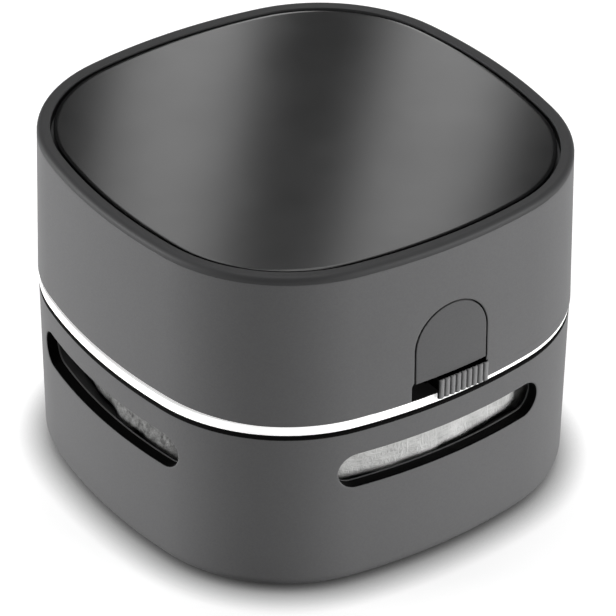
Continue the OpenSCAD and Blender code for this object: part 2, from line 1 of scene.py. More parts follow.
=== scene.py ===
# %% [markdown]
# # A desktop vacuum cleaner, dressed for its photograph
#
# The rigid model was made first, with every part in its real place. This script
# keeps that frame and gives it the surfaces that the eye meets: satin painted
# casings, a glossy top plate, a soft rim, a ribbed slide knob and a felt filter.
# Each step says what the thing is on the real object, how it could be made, and
# why it is made this way here.

# %% Load the frame
import math

import bmesh
import bpy
import numpy as np
from mathutils import Matrix, Vector


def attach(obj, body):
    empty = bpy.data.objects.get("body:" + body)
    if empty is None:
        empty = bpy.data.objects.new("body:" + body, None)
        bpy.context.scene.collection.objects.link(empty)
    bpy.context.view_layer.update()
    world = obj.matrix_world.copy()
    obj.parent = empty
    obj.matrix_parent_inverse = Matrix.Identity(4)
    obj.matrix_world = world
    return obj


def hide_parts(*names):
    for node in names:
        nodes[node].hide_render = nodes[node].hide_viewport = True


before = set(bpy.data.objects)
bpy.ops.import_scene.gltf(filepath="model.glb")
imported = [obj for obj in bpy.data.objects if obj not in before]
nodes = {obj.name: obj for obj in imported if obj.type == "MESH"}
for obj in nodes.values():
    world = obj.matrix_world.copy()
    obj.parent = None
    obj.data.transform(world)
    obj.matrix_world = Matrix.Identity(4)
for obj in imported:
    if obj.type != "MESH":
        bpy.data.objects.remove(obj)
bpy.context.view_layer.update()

# %% [markdown]
# ## The camera
#
# The photograph looks down on one corner of the object from about 36 degrees, from
# some 60 cm away through a long lens. The place of the lens was worked out from the
# outlines of the casing, so it is written here as numbers: the direction from the
# object, the distance, and the small tilt that puts the object in the frame.
# A lens shift would do the same, but a plain tilt also suits every other view.

# %% Camera at the photograph's place
MM = 0.001
IMAGE = 616
azimuth, elevation = math.radians(-35.327), math.radians(35.994)
distance, focal_pixels, roll = 599.0, 3479.4, 0.009
aim_right, aim_up = 0.001467, 0.035685  # where the frame's middle lies beside the object's
pivot = Vector((0, 0, 0.5))  # the point that the direction and the distance start from

level_right = Vector((math.cos(azimuth), math.sin(azimuth), 0))
towards = Vector((math.sin(azimuth) * math.cos(elevation), -math.cos(azimuth) * math.cos(elevation),
                  math.sin(elevation)))
up = towards.cross(level_right)
look = (-towards + level_right * aim_right + up * aim_up).normalized()
side = look.cross(up * math.cos(roll) - level_right * math.sin(roll)).normalized()

camera = bpy.data.objects.new("photo_camera", bpy.data.cameras.new("photo_camera"))
bpy.context.scene.collection.objects.link(camera)
turned = Matrix((side, side.cross(look), -look)).transposed().to_4x4()
camera.matrix_world = Matrix.Translation((towards * distance + pivot) * MM) @ turned
camera.data.sensor_width = 36.0
camera.data.lens = focal_pixels / IMAGE * camera.data.sensor_width
camera.data.clip_start, camera.data.clip_end = 0.05, 20.0
bpy.context.scene.camera = camera
print("camera at", [round(v, 3) for v in camera.location], "lens", round(camera.data.lens, 1), "mm")

# %% [markdown]
# ## Points on the rounded square
#
# Both casings, the rim, the plate and the filter follow one kind of outline: four
# long flat arcs joined by four tight corner arcs. They meet in tangents, so a point
# is fixed by the direction in which the wall faces there, and moving a wall in or
# out by an offset only changes the radii. A spline would look alike, but its offset
# would be a different curve; with arcs a wall keeps its thickness everywhere.

# %% Outline functions
# of each: corner centre, side centre behind the middle, side radius, corner radius
BODY = (12.1, 53.9, 93.9, 26.8)
FILTER = (11.2, 27.2, 64.2, 24.2)


def turn_of(outline):
    """Facing angle where a side arc meets a corner arc: the angle of the line through both centres."""
    leg, past, side_r, corner_r = outline
    return math.atan2(leg, leg + past)


def across(outline, a, offset):
    """Distance along the side of the point that faces angle a: radius times sine of a, from the arc's own centre."""
    leg, past, side_r, corner_r = outline
    on_side = (side_r + offset) * np.sin(a)
    on_corner = np.sign(a) * (leg + (corner_r + offset) * np.sin(np.abs(a)))
    return np.where(np.abs(a) <= turn_of(outline), on_side, on_corner)


def outward(outline, a, offset):
    """Distance of that point from the middle, straight out from the side: radius times cosine of a, from the
    arc's own centre."""
    leg, past, side_r, corner_r = outline
    on_side, on_corner = (side_r + offset) * np.cos(a) - past, leg + (corner_r + offset) * np.cos(a)
    return np.where(np.abs(a) <= turn_of(outline), on_side, on_corner)


def facing(outline, x, offset):
    """The way back: the facing angle of the point at distance x along the side, the arcsine of x over the arc's
    radius."""
    leg, past, side_r, corner_r = outline
    x, offset = np.broadcast_arrays(np.asarray(x, float), offset)
    flat = np.abs(x) <= (side_r + offset) * math.sin(turn_of(outline))
    on_side = np.arcsin(np.clip(x / (side_r + offset), -1, 1))
    on_corner = np.sign(x) * np.arcsin(np.clip((np.abs(x) - leg) / (corner_r + offset), -1, 1))
    return np.where(flat, on_side, on_corner)


def place(outline, quarter, a, offset, z):
    """Point in space: the outline's point turned by quarter times 90 degrees (0 right, 1 rear, 2 left, 3 front),
    at height z."""
    a, offset, z, quarter = np.broadcast_arrays(a, offset, z, quarter)
    out, along = outward(outline, a, offset), across(outline, a, offset)
    c, s = np.round(np.cos(quarter * math.pi / 2)), np.round(np.sin(quarter * math.pi / 2))
    return np.stack([out * c - along * s, out * s + along * c, z], -1)
def all_round(columns):
    """One quarter's columns four times over: the quarter of each and its facing angle, as upright lists."""
    return np.repeat(np.arange(4), columns.size)[:, None], np.tile(columns, 4)[:, None]


def even_angles(outline, on_corner, on_side):
    """Facing angles of one quarter, evenly spread over half a corner, the side and half a corner."""
    turn = turn_of(outline)
    corner = np.linspace(turn, math.pi / 4, on_corner)
    return np.concatenate([-corner[:0:-1], np.linspace(-turn, turn, on_side), corner[1:-1]])

print("a side turns into its corner at", round(math.degrees(turn_of(BODY)), 2), "degrees")

# %% [markdown]
# ## From arrays to a mesh
#
# Every piece below is a few grids of points. A grid of cells is turned into faces
# with index arithmetic, the grids of one piece are put together, and points that
# lie on each other are welded, which closes seams and poles. Faces then get their
# direction from the closed shape. Edges sharper than an angle stay crisp, all other
# surfaces are shaded round.

# %% Mesh helpers
WELD, SHORTEST = 0.002, 0.0001  # mm: points nearer than this are one point, edges shorter than this go


def cells(rows, columns, wrap_rows=False, wrap_columns=False):
    """Corner indices of each cell of a rows by columns grid: itself, one row on, one row and column on, one
    column on."""
    i = np.arange(rows if wrap_rows else rows - 1)[:, None]
    j = np.arange(columns if wrap_columns else columns - 1)[None, :]
    i2, j2 = (i + 1) % rows, (j + 1) % columns
    return np.stack(np.broadcast_arrays(i * columns + j, i2 * columns + j, i2 * columns + j2, i * columns + j2), -1)


def grid(points, material=0, keep=None, **wrap):
    """One grid of a piece: its points as a list, its faces as rows of four, and its material number."""
    points = np.asarray(points, float)
    quads = cells(points.shape[0], points.shape[1], **wrap)
    material = np.broadcast_to(material, quads.shape[:2])
    keep = np.ones(quads.shape[:2], bool) if keep is None else keep
    return points.reshape(-1, 3), quads[keep], material[keep]


def piece(name, grids, materials, body, replaces, sharp=38):
    """A mesh object in metres from grids in millimetres, welded, closed, shaded, and riding on its body."""
    points = np.concatenate([g[0] for g in grids]) * MM
    start = np.cumsum([0] + [len(g[0]) for g in grids[:-1]])
    faces = np.concatenate([g[1] + s for g, s in zip(grids, start)])
    index = np.concatenate([g[2] for g in grids])
    mesh = bpy.data.meshes.new(name)
    mesh.vertices.add(len(points))
    mesh.vertices.foreach_set("co", points.ravel())
    mesh.loops.add(faces.size)
    mesh.loops.foreach_set("vertex_index", faces.ravel().astype(np.int32))
    mesh.polygons.add(len(faces))
    mesh.polygons.foreach_set("loop_start", np.arange(0, faces.size, 4, dtype=np.int32))
    mesh.polygons.foreach_set("material_index", index.astype(np.int32))
    mesh.update(calc_edges=True)
    work = bmesh.new()
    work.from_mesh(mesh)
    bmesh.ops.remove_doubles(work, verts=work.verts, dist=WELD * MM)
    bmesh.ops.dissolve_degenerate(work, edges=work.edges, dist=SHORTEST * MM)
    bmesh.ops.recalc_face_normals(work, faces=work.faces)
    open_edges = sum(not e.is_manifold for e in work.edges)
    work.to_mesh(mesh)
    work.free()
    mesh.polygons.foreach_set("use_smooth", np.ones(len(mesh.polygons), bool))
    mesh.set_sharp_from_angle(angle=math.radians(sharp))
    obj = bpy.data.objects.new(name, mesh)
    bpy.context.scene.collection.objects.link(obj)
    for m in materials:
        mesh.materials.append(m)
    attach(obj, body)
    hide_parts(*replaces)
    print(f"{name}: {len(mesh.polygons)} faces, open edges {open_edges}")


def spread(*pieces_of_line):
    """One increasing list of positions from stretches (from, to, steps), without doubled ends."""
    lines = [np.linspace(a, b, n + 1) for a, b, n in pieces_of_line]
    return np.unique(np.round(np.concatenate(lines), 9))


def bend(cx, cy, r, from_degrees, to_degrees, steps):
    """Points of an arc: centre plus radius times cosine and sine."""
    t = np.radians(np.linspace(from_degrees, to_degrees, steps + 1))
    return np.stack([cx + r * np.cos(t), cy + r * np.sin(t)], -1)
def part_way(value, start, reach):
    """0 up to start and 1 from a reach further on, straight between: value less start over the reach."""
    return np.clip((value - start) / reach, 0, 1)


def step_up(x, a, b):
    """0 before a, 1 after b, and 3 t squared minus 2 t cubed between."""
    t = part_way(x, a, b - a)
    return t * t * (3 - 2 * t)


def hump(x, a, b, c, d):
    """Rises from 0 at a to 1 at b and falls again from c to 0 at d."""
    return step_up(x, a, b) * (1 - step_up(x, c, d))
# %% [markdown]
# ## Shared effects
#
# Several finishes share the same small irregularities: the fine pitting of a mould,
# the grain of a sprayed coat, a film of dust. Each is a node group with named
# inputs, built once and placed in each material with its own values. A group only
# puts out values; the shader itself stays in the material.

# %% Node group helpers
def new_group(name, inputs, outputs):
    """An empty shader node group with float inputs (name: default) and float outputs."""
    group = bpy.data.node_groups.new(name, "ShaderNodeTree")
    for label, default in inputs.items():
        group.interface.new_socket(label, in_out="INPUT", socket_type="NodeSocketFloat").default_value = default
    for label in outputs:
        group.interface.new_socket(label, in_out="OUTPUT", socket_type="NodeSocketFloat")
    return group, group.nodes.new("NodeGroupInput"), group.nodes.new("NodeGroupOutput")


def join(tree, *pairs):
    """Links each (from socket, to socket) pair."""
    for a, b in pairs:
        tree.links.new(a, b)


def calc(tree, operation, a, b=0.0):
    """A Math node of that operation on two sockets or numbers; returns its output."""
    node = tree.nodes.new("ShaderNodeMath")
    node.operation = operation
    for socket, value in zip(node.inputs, (a, b)):
        if isinstance(value, (int, float)):
            socket.default_value = value
        else:
            tree.links.new(value, socket)
    return node.outputs[0]


def plus(tree, a, b):
    """a + b."""
    return calc(tree, "ADD", a, b)


def minus(tree, a, b):
    """a - b."""
    return calc(tree, "SUBTRACT", a, b)


def times(tree, first, *others):
    """The product of all, from the left."""
    for other in others:
        first = calc(tree, "MULTIPLY", first, other)
    return first


def ramp(tree, value, low, high):
    """0 at low, 1 at high, straight between, held to that range."""
    node = tree.nodes.new("ShaderNodeMapRange")
    node.inputs["From Min"].default_value, node.inputs["From Max"].default_value = low, high
    join(tree, (value, node.inputs["Value"]))
    return node.outputs[0]


def object_place(tree):
    """Object coordinates, in metres."""
    return tree.nodes.new("ShaderNodeTexCoord").outputs["Object"]


def normal_way(tree):
    """The way the surface faces."""
    return tree.nodes.new("ShaderNodeNewGeometry").outputs["Normal"]


def axes(tree, vector):
    """The X, Y and Z of a vector socket."""
    node = tree.nodes.new("ShaderNodeSeparateXYZ")
    join(tree, (vector, node.inputs[0]))
    return node.outputs


def noise(tree, scale, detail=2.0, roughness=0.5, stretch=None, distortion=0.0):
    """Noise on Object coordinates, stretched by a Mapping node if three factors are given; returns its value
    from 0 to 1."""
    where = object_place(tree)
    if stretch:
        mapping = tree.nodes.new("ShaderNodeMapping")
        mapping.inputs["Scale"].default_value = stretch
        tree.links.new(where, mapping.inputs["Vector"])
        where = mapping.outputs["Vector"]
    node = tree.nodes.new("ShaderNodeTexNoise")
    node.inputs["Detail"].default_value = detail
    node.inputs["Roughness"].default_value = roughness
    node.inputs["Distortion"].default_value = distortion
    tree.links.new(where, node.inputs["Vector"])
    if isinstance(scale, (int, float)):
        node.inputs["Scale"].default_value = scale
    else:
        tree.links.new(scale, node.inputs["Scale"])
    return node.outputs[0]


# %% Mould grain, sprayed coat, dust, felt and drawn metal
def mould_grain():
    """Fine pits: high noise gives the height; a slow noise shifts tone and gloss by the given amounts round 1."""
    group, given, out = new_group("mould_grain", {"Scale": 2500.0, "Tone": 0.06, "Gloss": 0.05},
                                  ["Height", "Tint", "Shift"])
    fine, slow = noise(group, given.outputs["Scale"], 3.0), noise(group, 90.0, 3.0)
    centred = minus(group, slow, 0.5)
    tint = plus(group, times(group, centred, given.outputs["Tone"]), 1.0)
    join(group, (fine, out.inputs["Height"]), (tint, out.inputs["Tint"]),
         (times(group, centred, given.outputs["Gloss"]), out.inputs["Shift"]))
    return group


def sprayed_coat():
    """A sprayed metallic lacquer: tiny cells lighten or darken single flakes, a broad noise is the orange peel's
    height."""
    group, given, out = new_group("sprayed_coat", {"Flake size": 5200.0, "Sparkle": 0.08, "Peel": 900.0},
                                  ["Flakes", "Height"])
    cell = group.nodes.new("ShaderNodeTexVoronoi")
    split = group.nodes.new("ShaderNodeSeparateColor")
    join(group, (object_place(group), cell.inputs["Vector"]), (given.outputs["Flake size"], cell.inputs["Scale"]),
         (cell.outputs["Color"], split.inputs[0]))
    flakes = plus(group, times(group, minus(group, split.outputs[0], 0.5), given.outputs["Sparkle"]), 1.0)
    join(group, (flakes, out.inputs["Flakes"]), (noise(group, given.outputs["Peel"], 1.0), out.inputs["Height"]))
    return group


def settled_dust():
    """Dust mask: a patchy noise, kept only where the surface faces up, times the amount."""
    group, given, out = new_group("settled_dust", {"Amount": 0.1, "Patch": 260.0}, ["Mask"])
    facing_up = calc(group, "MAXIMUM", axes(group, normal_way(group))["Z"], 0.0)
    patch = calc(group, "POWER", noise(group, given.outputs["Patch"], 5.0, 0.65), 3.0)
    join(group, (times(group, patch, facing_up, given.outputs["Amount"]), out.inputs["Mask"]))
    return group


def felt_fibres():
    """Non-woven felt: noise stretched three ways stands for fibres lying in three directions, the strongest
    shows; a slow noise makes thick and thin places."""
    group, given, out = new_group("felt_fibres", {"Fibre": 1500.0, "Clump": 210.0}, ["Fibres", "Clumps"])
    ways = [noise(group, given.outputs["Fibre"], 2.0, 0.6, stretch, 0.6)
            for stretch in ((1, 1, 0.16), (0.16, 1, 1), (0.3, 0.3, 1.4))]
    fibres = calc(group, "MAXIMUM", calc(group, "MAXIMUM", ways[0], ways[1]), ways[2])
    join(group, (fibres, out.inputs["Fibres"]), (noise(group, given.outputs["Clump"], 4.0, 0.6), out.inputs["Clumps"]))
    return group


def drawn_metal():
    """Drawn or turned metal: noise stretched along Z gives fine lines for height and a shift of the roughness."""
    group, given, out = new_group("drawn_metal", {"Scale": 1800.0, "Shift": 0.16}, ["Height", "Rough"])
    lines = noise(group, given.outputs["Scale"], 3.0, 0.6, (1, 1, 0.05))
    shift = times(group, minus(group, lines, 0.5), given.outputs["Shift"])
    join(group, (lines, out.inputs["Height"]), (shift, out.inputs["Rough"]))
    return group


EFFECTS = {g.name: g for g in (mould_grain(), sprayed_coat(), settled_dust(), felt_fibres(), drawn_metal())}
print("effects:", ", ".join(EFFECTS))

# %% [markdown]
# ## Materials
#
# A finish starts as one Principled shader whose constants are set on its own
# sockets. Colour that varies is the finish's own colour multiplied by a group's
# value; roughness that varies is a value plus a group's shift; and heights go
# through a Bump node. The bump distances are fractions of a millimetre, since a
# surface that is rough to the eye is still nearly flat.

# %% Material helpers
def finish_of(name, colour, roughness, **constants):
    """A new material: returns it, its node tree and its Principled shader, with constants set by socket name."""
    material = bpy.data.materials.new(name)
    material.use_nodes = True
    tree = material.node_tree
    shader = tree.nodes["Principled BSDF"]
    shader.inputs["Base Color"].default_value = (*colour, 1)
    shader.inputs["Roughness"].default_value = roughness
    for socket, value in constants.items():
        shader.inputs[socket.replace("_", " ")].default_value = value
    return material, tree, shader


def effect(tree, name, **values):
    """Places a shared effect and sets its named inputs."""
    node = tree.nodes.new("ShaderNodeGroup")
    node.node_tree = EFFECTS[name]
    for label, value in values.items():
        node.inputs[label.replace("_", " ")].default_value = value
    return node.outputs


def tinted(tree, shader, colour, factor):
    """Feeds Base Color with the colour times a factor socket: each channel scaled alike."""
    node = tree.nodes.new("ShaderNodeVectorMath")
    node.operation = "SCALE"
    node.inputs[0].default_value = colour
    join(tree, (factor, node.inputs["Scale"]), (node.outputs[0], shader.inputs["Base Color"]))


def rough(tree, shader, value, shift):
    """Feeds Roughness with a value plus a shift socket."""
    join(tree, (plus(tree, shift, value), shader.inputs["Roughness"]))


def bumped(tree, shader, height, depth):
    """Feeds Normal with a height socket through a Bump node; depth in millimetres."""
    node = tree.nodes.new("ShaderNodeBump")
    node.inputs["Distance"].default_value = depth * MM
    join(tree, (height, node.inputs["Height"]), (node.outputs[0], shader.inputs["Normal"]))


# %% Painted casing, knob, rim and plate
def painted_grey(name, colour, roughness):
    """Satin lacquer with fine flakes: colour times flakes, orange peel as bump."""
    material, tree, shader = finish_of(name, colour, roughness, Specular_IOR_Level=0.03)
    coat = effect(tree, "sprayed_coat")
    grain = effect(tree, "mould_grain", Tone=0.05, Gloss=0.06)
    tinted(tree, shader, colour, times(tree, coat["Flakes"], grain["Tint"]))
    rough(tree, shader, roughness, grain["Shift"])
    bumped(tree, shader, coat["Height"], 0.004)
    return material


def moulded(name, colour, roughness, depth=0.01, scale=2500.0, tone=0.1, dust=0.0, **constants):
    """Bare moulded plastic or rubber: fine pits as bump, slow changes of tone and gloss, and dust that lightens
    it where asked."""
    material, tree, shader = finish_of(name, colour, roughness, **constants)
    grain = effect(tree, "mould_grain", Scale=scale, Tone=tone)
    tint = grain["Tint"]
    if dust:
        tint = plus(tree, tint, effect(tree, "settled_dust", Amount=dust)["Mask"])
    tinted(tree, shader, colour, tint)
    rough(tree, shader, roughness, grain["Shift"])
    bumped(tree, shader, grain["Height"], depth)
    return material


def metal(name, colour, roughness):
    """Drawn metal: its colour times slight stains, lines in the roughness and the bump."""
    material, tree, shader = finish_of(name, colour, roughness, Metallic=1.0)
    drawn, grain = effect(tree, "drawn_metal"), effect(tree, "mould_grain", Tone=0.16)
    tinted(tree, shader, colour, grain["Tint"])
    rough(tree, shader, roughness, drawn["Rough"])
    bumped(tree, shader, drawn["Height"], 0.003)
    return material


shell_grey = painted_grey("shell_grey", (0.164, 0.164, 0.166), 0.46)
plate_grey = painted_grey("plate_grey", (0.135, 0.135, 0.137), 0.46)
knob_grey = painted_grey("knob_grey", (0.27, 0.27, 0.272), 0.42)
bare_black = moulded("bare_black", (0.002, 0.002, 0.002), 0.7, Specular_IOR_Level=0.05)
rim_dark = moulded("rim_dark", (0.036, 0.036, 0.037), 0.62, 0.006, dust=0.15, Specular_IOR_Level=0.35)
panel_gloss = moulded("panel_gloss", (0.006, 0.006, 0.0062), 0.14, 0.0004, tone=0.08,
                      Specular_IOR_Level=0.3)


def band_and_top():
    """The chassis: white at its side and on the left of its top. The rest of the top, which the notch lays open, is
    black as painted shade of the notch. A small emission, painted light, lifts it to the pure white that the photograph
    shows."""
    # black is painted shade on the top under the notch; the emission below is painted light, the chassis glows
    white, black = (0.93, 0.93, 0.925, 1), (0.006, 0.006, 0.006, 1)
    faces_up, notch_shade_from_x = 0.5, -14 * MM
    material, tree, shader = finish_of("band_white_painted_light", white[:3], 0.4, Emission_Strength=0.6)
    on_top = calc(tree, "GREATER_THAN", axes(tree, normal_way(tree))["Z"], faces_up)
    painted_notch_shade = calc(tree, "GREATER_THAN", axes(tree, object_place(tree))["X"], notch_shade_from_x)
    shade = tree.nodes.new("ShaderNodeMix")
    shade.data_type = "RGBA"
    shade.inputs["A"].default_value, shade.inputs["B"].default_value = white, black
    join(tree, (times(tree, on_top, painted_notch_shade), shade.inputs["Factor"]),
         (shade.outputs["Result"], shader.inputs["Base Color"]),
         (shade.outputs["Result"], shader.inputs["Emission Color"]))
    bumped(tree, shader, effect(tree, "mould_grain")["Height"], 0.004)
    return material


band_white_painted_light = band_and_top()
print("casing finishes ready")

# %% Felt, bristles, rubber, metals and inside plastics
def felt_white():
    """Felt: white times the fibres' light and dark and the clumps' thick and thin, both as bump; its colour is made
    darker on the left side, most behind its middle."""
    colour = (0.7, 0.7, 0.69)
    darkening_x, darkening_y = (-27 * MM, -33 * MM), (0.5 * MM, 4.5 * MM)  # where the darkening begins and where it is full
    grey, darker, ragged_by = 0.7, 0.06, 8 * MM
    material, tree, shader = finish_of("felt_white", colour, 0.95, Specular_IOR_Level=0.15, Sheen_Weight=0.15)
    felt, where = effect(tree, "felt_fibres"), axes(tree, object_place(tree))
    fibres = plus(tree, times(tree, felt["Fibres"], 0.6), 0.62)
    clumps = plus(tree, times(tree, felt["Clumps"], 0.6), 0.7)
    ragged = times(tree, minus(tree, felt["Clumps"], 0.5), ragged_by)
    # the colour is made darker grey on the left side, and darker still behind its middle
    left = ramp(tree, plus(tree, where["X"], ragged), *darkening_x)
    behind = times(tree, left, ramp(tree, plus(tree, where["Y"], ragged), *darkening_y))
    undarkened = minus(tree, minus(tree, 1.0, times(tree, left, grey)), times(tree, behind, darker))
    patches = times(tree, minus(tree, noise(tree, 900.0, 4.0, 0.7), 0.5), 3.0)
    patchy = plus(tree, 1.0, times(tree, left, patches))
    tinted(tree, shader, colour, times(tree, fibres, clumps, undarkened, patchy))
    bumped(tree, shader, plus(tree, felt["Fibres"], times(tree, felt["Clumps"], 1.6)), 0.3)
    return material


filter_felt = felt_white()
black_plastic = moulded("black_plastic", (0.02, 0.02, 0.021), 0.5, dust=0.5)
nylon_grey = moulded("nylon_grey", (0.16, 0.165, 0.17), 0.38, 0.002)
soft_rubber = moulded("soft_rubber", (0.018, 0.018, 0.019), 0.75, 0.012, 1600.0, dust=0.4)
fan_grey = moulded("fan_grey", (0.1, 0.11, 0.125), 0.4, dust=1.2)
circuit_green = moulded("circuit_green", (0.02, 0.12, 0.05), 0.3, 0.01, 700.0, tone=0.35)
cell_blue = moulded("cell_blue", (0.05, 0.14, 0.24), 0.25, 0.004, tone=0.12)
bright_steel = metal("bright_steel", (0.56, 0.56, 0.57), 0.3)
turned_brass = metal("turned_brass", (0.62, 0.44, 0.2), 0.32)

NODE_FINISHES = {
    band_white_painted_light: ["mid_frame"],
    black_plastic: ["base_plate", "inlet_duct", "brush_ring", "fan_floor", "intake_grille", "fan_cage", "motor_clamp",
                    "motor_end_cap", "battery_cradle", "switch_lever", "board_parts"],
    soft_rubber: ["seal_ring", "feet"],
    bright_steel: ["base_screws", "clamp_screws", "long_screws", "motor_shaft", "motor_can", "slide_switch",
                   "usb_socket", "battery_contacts"],
    turned_brass: ["motor_bush", "motor_terminals"],
    fan_grey: ["impeller", "impeller_blades", "impeller_shroud"],
    cell_blue: ["battery_cell"],
    circuit_green: ["switch_board", "usb_board"],
}
for material, names in NODE_FINISHES.items():
    for name in names:
        for holder in nodes[name].material_slots:
            holder.material = material
print("finishes on", sum(len(n) for n in NODE_FINISHES.values()), "solid parts")

# %% [markdown]
# ## Floor and light
#
# The object stands on a plain white table. Two soft boxes stand low behind its left and its right, so both sides are
# bright and the corner that faces the lens is darker, as on the photograph; a third lights the far right. One overhead
# lights what faces up. Two narrow boxes behind the object are what the glossy top plate mirrors as slanting bands. The
# table is white for the lens and for mirrors, yet still takes the object's shadow: its own lit colour is topped up with
# plain light. Close to the object an ambient occlusion node darkens both, a painted contact shadow.

# %% Floor
def flat_sheet(name, size, z):
    """A square sheet of four corners, size times plus and minus one half."""
    mesh = bpy.data.meshes.new(name)
    corner = np.array([[-1, -1, 0], [1, -1, 0], [1, 1, 0], [-1, 1, 0]]) * size / 2 + [0, 0, z]
    mesh.from_pydata(corner.tolist(), [], [(0, 1, 2, 3)])
    obj = bpy.data.objects.new(name, mesh)
    bpy.context.scene.collection.objects.link(obj)
    return obj


def seen_share(tree):
    """1 for rays from the lens, from mirrors and from glass, 0 for the light that spreads."""
    path = tree.nodes.new("ShaderNodeLightPath")
    mirrored = calc(tree, "MAXIMUM", path.outputs["Is Glossy Ray"], path.outputs["Is Transmission Ray"])
    return calc(tree, "MAXIMUM", path.outputs["Is Camera Ray"], mirrored)


FLOOR_COLOUR, FLOOR_TOP_UP = (0.42, 0.42, 0.42), 0.79
CONTACT, CONTACT_POWER = 0.006, 1.5  # metres that the darkening reaches, and how steeply it ends
floor = flat_sheet("floor", 6.0, 0.0)
floor_white, tree, shader = finish_of("floor_white", FLOOR_COLOUR, 0.9, Specular_IOR_Level=0.0)
grain = effect(tree, "mould_grain", Tone=0.01)
# painted contact shadow: ambient occlusion darkens the floor's colour and its top-up near the object
near = tree.nodes.new("ShaderNodeAmbientOcclusion")
near.inputs["Distance"].default_value = CONTACT
painted_contact_shade = calc(tree, "POWER", near.outputs["AO"], CONTACT_POWER)
tinted(tree, shader, FLOOR_COLOUR, times(tree, grain["Tint"], painted_contact_shade))
glow, both = tree.nodes.new("ShaderNodeEmission"), tree.nodes.new("ShaderNodeAddShader")
join(tree, (times(tree, seen_share(tree), painted_contact_shade, FLOOR_TOP_UP), glow.inputs["Strength"]),
     (shader.outputs[0], both.inputs[0]), (glow.outputs[0], both.inputs[1]),
     (both.outputs[0], tree.nodes["Material Output"].inputs["Surface"]))
floor.data.materials.append(floor_white)

# %% World and lamps
bpy.context.scene.view_settings.view_transform = "Standard"
AMBIENT = 0.04
world = bpy.data.worlds.new("studio")
bpy.context.scene.world = world
world.use_nodes = True
tree = world.node_tree
sky = plus(tree, times(tree, seen_share(tree), 1.0 - AMBIENT), AMBIENT)
join(tree, (sky, tree.nodes["Background"].inputs["Strength"]))


def soft_box(name, direction, reach, size, strength, roll_degrees=0.0, aim=(0, 0, 0.03)):
    """A rectangular lamp at a distance along a direction (azimuth from +X, elevation, degrees), turned to its
    aim; strength is its power per area over pi."""
    lamp = bpy.data.lights.new(name, "AREA")
    lamp.shape, lamp.size, lamp.size_y = "RECTANGLE", *size
    lamp.energy = strength * size[0] * size[1] * math.pi
    obj = bpy.data.objects.new(name, lamp)
    bpy.context.scene.collection.objects.link(obj)
    az, el = np.radians(direction)
    where = Vector((math.cos(az) * math.cos(el), math.sin(az) * math.cos(el), math.sin(el)))
    turned = where.to_track_quat("Z", "Y").to_matrix().to_4x4() @ Matrix.Rotation(math.radians(roll_degrees), 4, "Z")
    obj.matrix_world = Matrix.Translation(where * reach + Vector(aim)) @ turned


PLATE_SPOT = (-0.0026, -0.0046, 0.0605)  # where the middle of the plate shows
soft_box("left_box", (147, 6), 1.0, (0.4, 0.5), 21.0)
soft_box("right_box", (-56, 6), 1.0, (0.36, 0.5), 21.0)
soft_box("far_box", (35, 5), 1.0, (0.35, 0.3), 1.5)
soft_box("top_box", (55, 79), 1.2, (0.45, 0.45), 10.5)
soft_box("strip_left", (59.0, 30.8), 0.8, (0.05, 0.5), 3.4, -10.6, PLATE_SPOT)
soft_box("strip_right", (50.5, 31.1), 0.8, (0.05, 0.5), 3.4, -10.6, PLATE_SPOT)

# %% [markdown]
# ## The lower casing
#
# The dust box is a moulded ring with a rounded foot, slightly drawn in towards the table, and one long vent with round
# ends in each side. It is painted outside only, so the walls of the vents and the inside stay black. The top edge under
# the white band is black as well, as painted shade of the gap there. The wall is a closed profile carried round the
# outline. Cutting the vents with a boolean would leave raw edges and long thin faces. Instead the cells round a vent
# are left out, and a patch fills the place: its outer border is the grid's own border, its inner border the vent.

# %% Heights and offsets of the casings
Z_BASE, Z_LOWER_TOP, Z_UPPER, Z_UPPER_TOP = 1.0, 31.5, 33.5, 59.6
WALL = 2.2
LOWER_OUT, LOWER_TAPER, UPPER_FLARE, UPPER_EDGE = 0.6, 0.2, 0.7, 0.2
VENT_MIDDLE, VENT_HALF, VENT_RADIUS = 23.25, 16.7, 3.15
PAINTED, BLACK = 0, 1


def lower_offset(z):
    """How far the lower casing stands outside the top outline: LOWER_OUT at the seam, LOWER_TAPER less at the
    floor."""
    return LOWER_OUT - LOWER_TAPER * (Z_LOWER_TOP - z) / (Z_LOWER_TOP - Z_BASE)


def upper_face(z):
    """The upper casing widens downwards in a straight line, from 0 at its top to UPPER_FLARE at the seam."""
    return UPPER_FLARE * (Z_UPPER_TOP - z) / (Z_UPPER_TOP - Z_UPPER)


def upper_offset(z):
    """That face with its lower edge rounded: UPPER_EDGE less the root of its square minus the height's square."""
    edge = np.clip(UPPER_EDGE - (z - Z_UPPER), 0, UPPER_EDGE)
    return upper_face(z) - (UPPER_EDGE - np.sqrt(np.maximum(UPPER_EDGE ** 2 - edge ** 2, 0)))


def on_face(offset, *heights):
    """Profile points at those heights on a face that is given by its offset's function."""
    return [[offset(z), z] for z in heights]


def stadium(u, v, half, radius):
    """Where the ray from the nearest point of the middle segment (length 2 half) through (u, v) meets the slot's
    edge: that point plus radius times the unit direction."""
    near = np.clip(u, -half, half)
    length = np.hypot(u - near, v)
    return near + (u - near) / length * radius, v / length * radius


def border_of(columns, rows, middle, reach, low, high):
    """Column and row values once round the grid lines within reach of the middle column, from the lower left."""
    c, r = np.arange(middle - reach, middle + reach + 1), np.arange(low, high + 1)
    col = np.concatenate([c, np.full(r.size - 2, c[-1]), c[::-1], np.full(r.size - 2, c[0])])
    row = np.concatenate([np.full(c.size, low), r[1:-1], np.full(c.size, high), r[1:-1][::-1]])
    return columns[col], rows[row]


def leave_out(keep, middle, reach, low, high):
    """Takes the cells within reach of the middle column, between two rows, out of a grid."""
    keep[middle - reach:middle + reach, low:high] = False


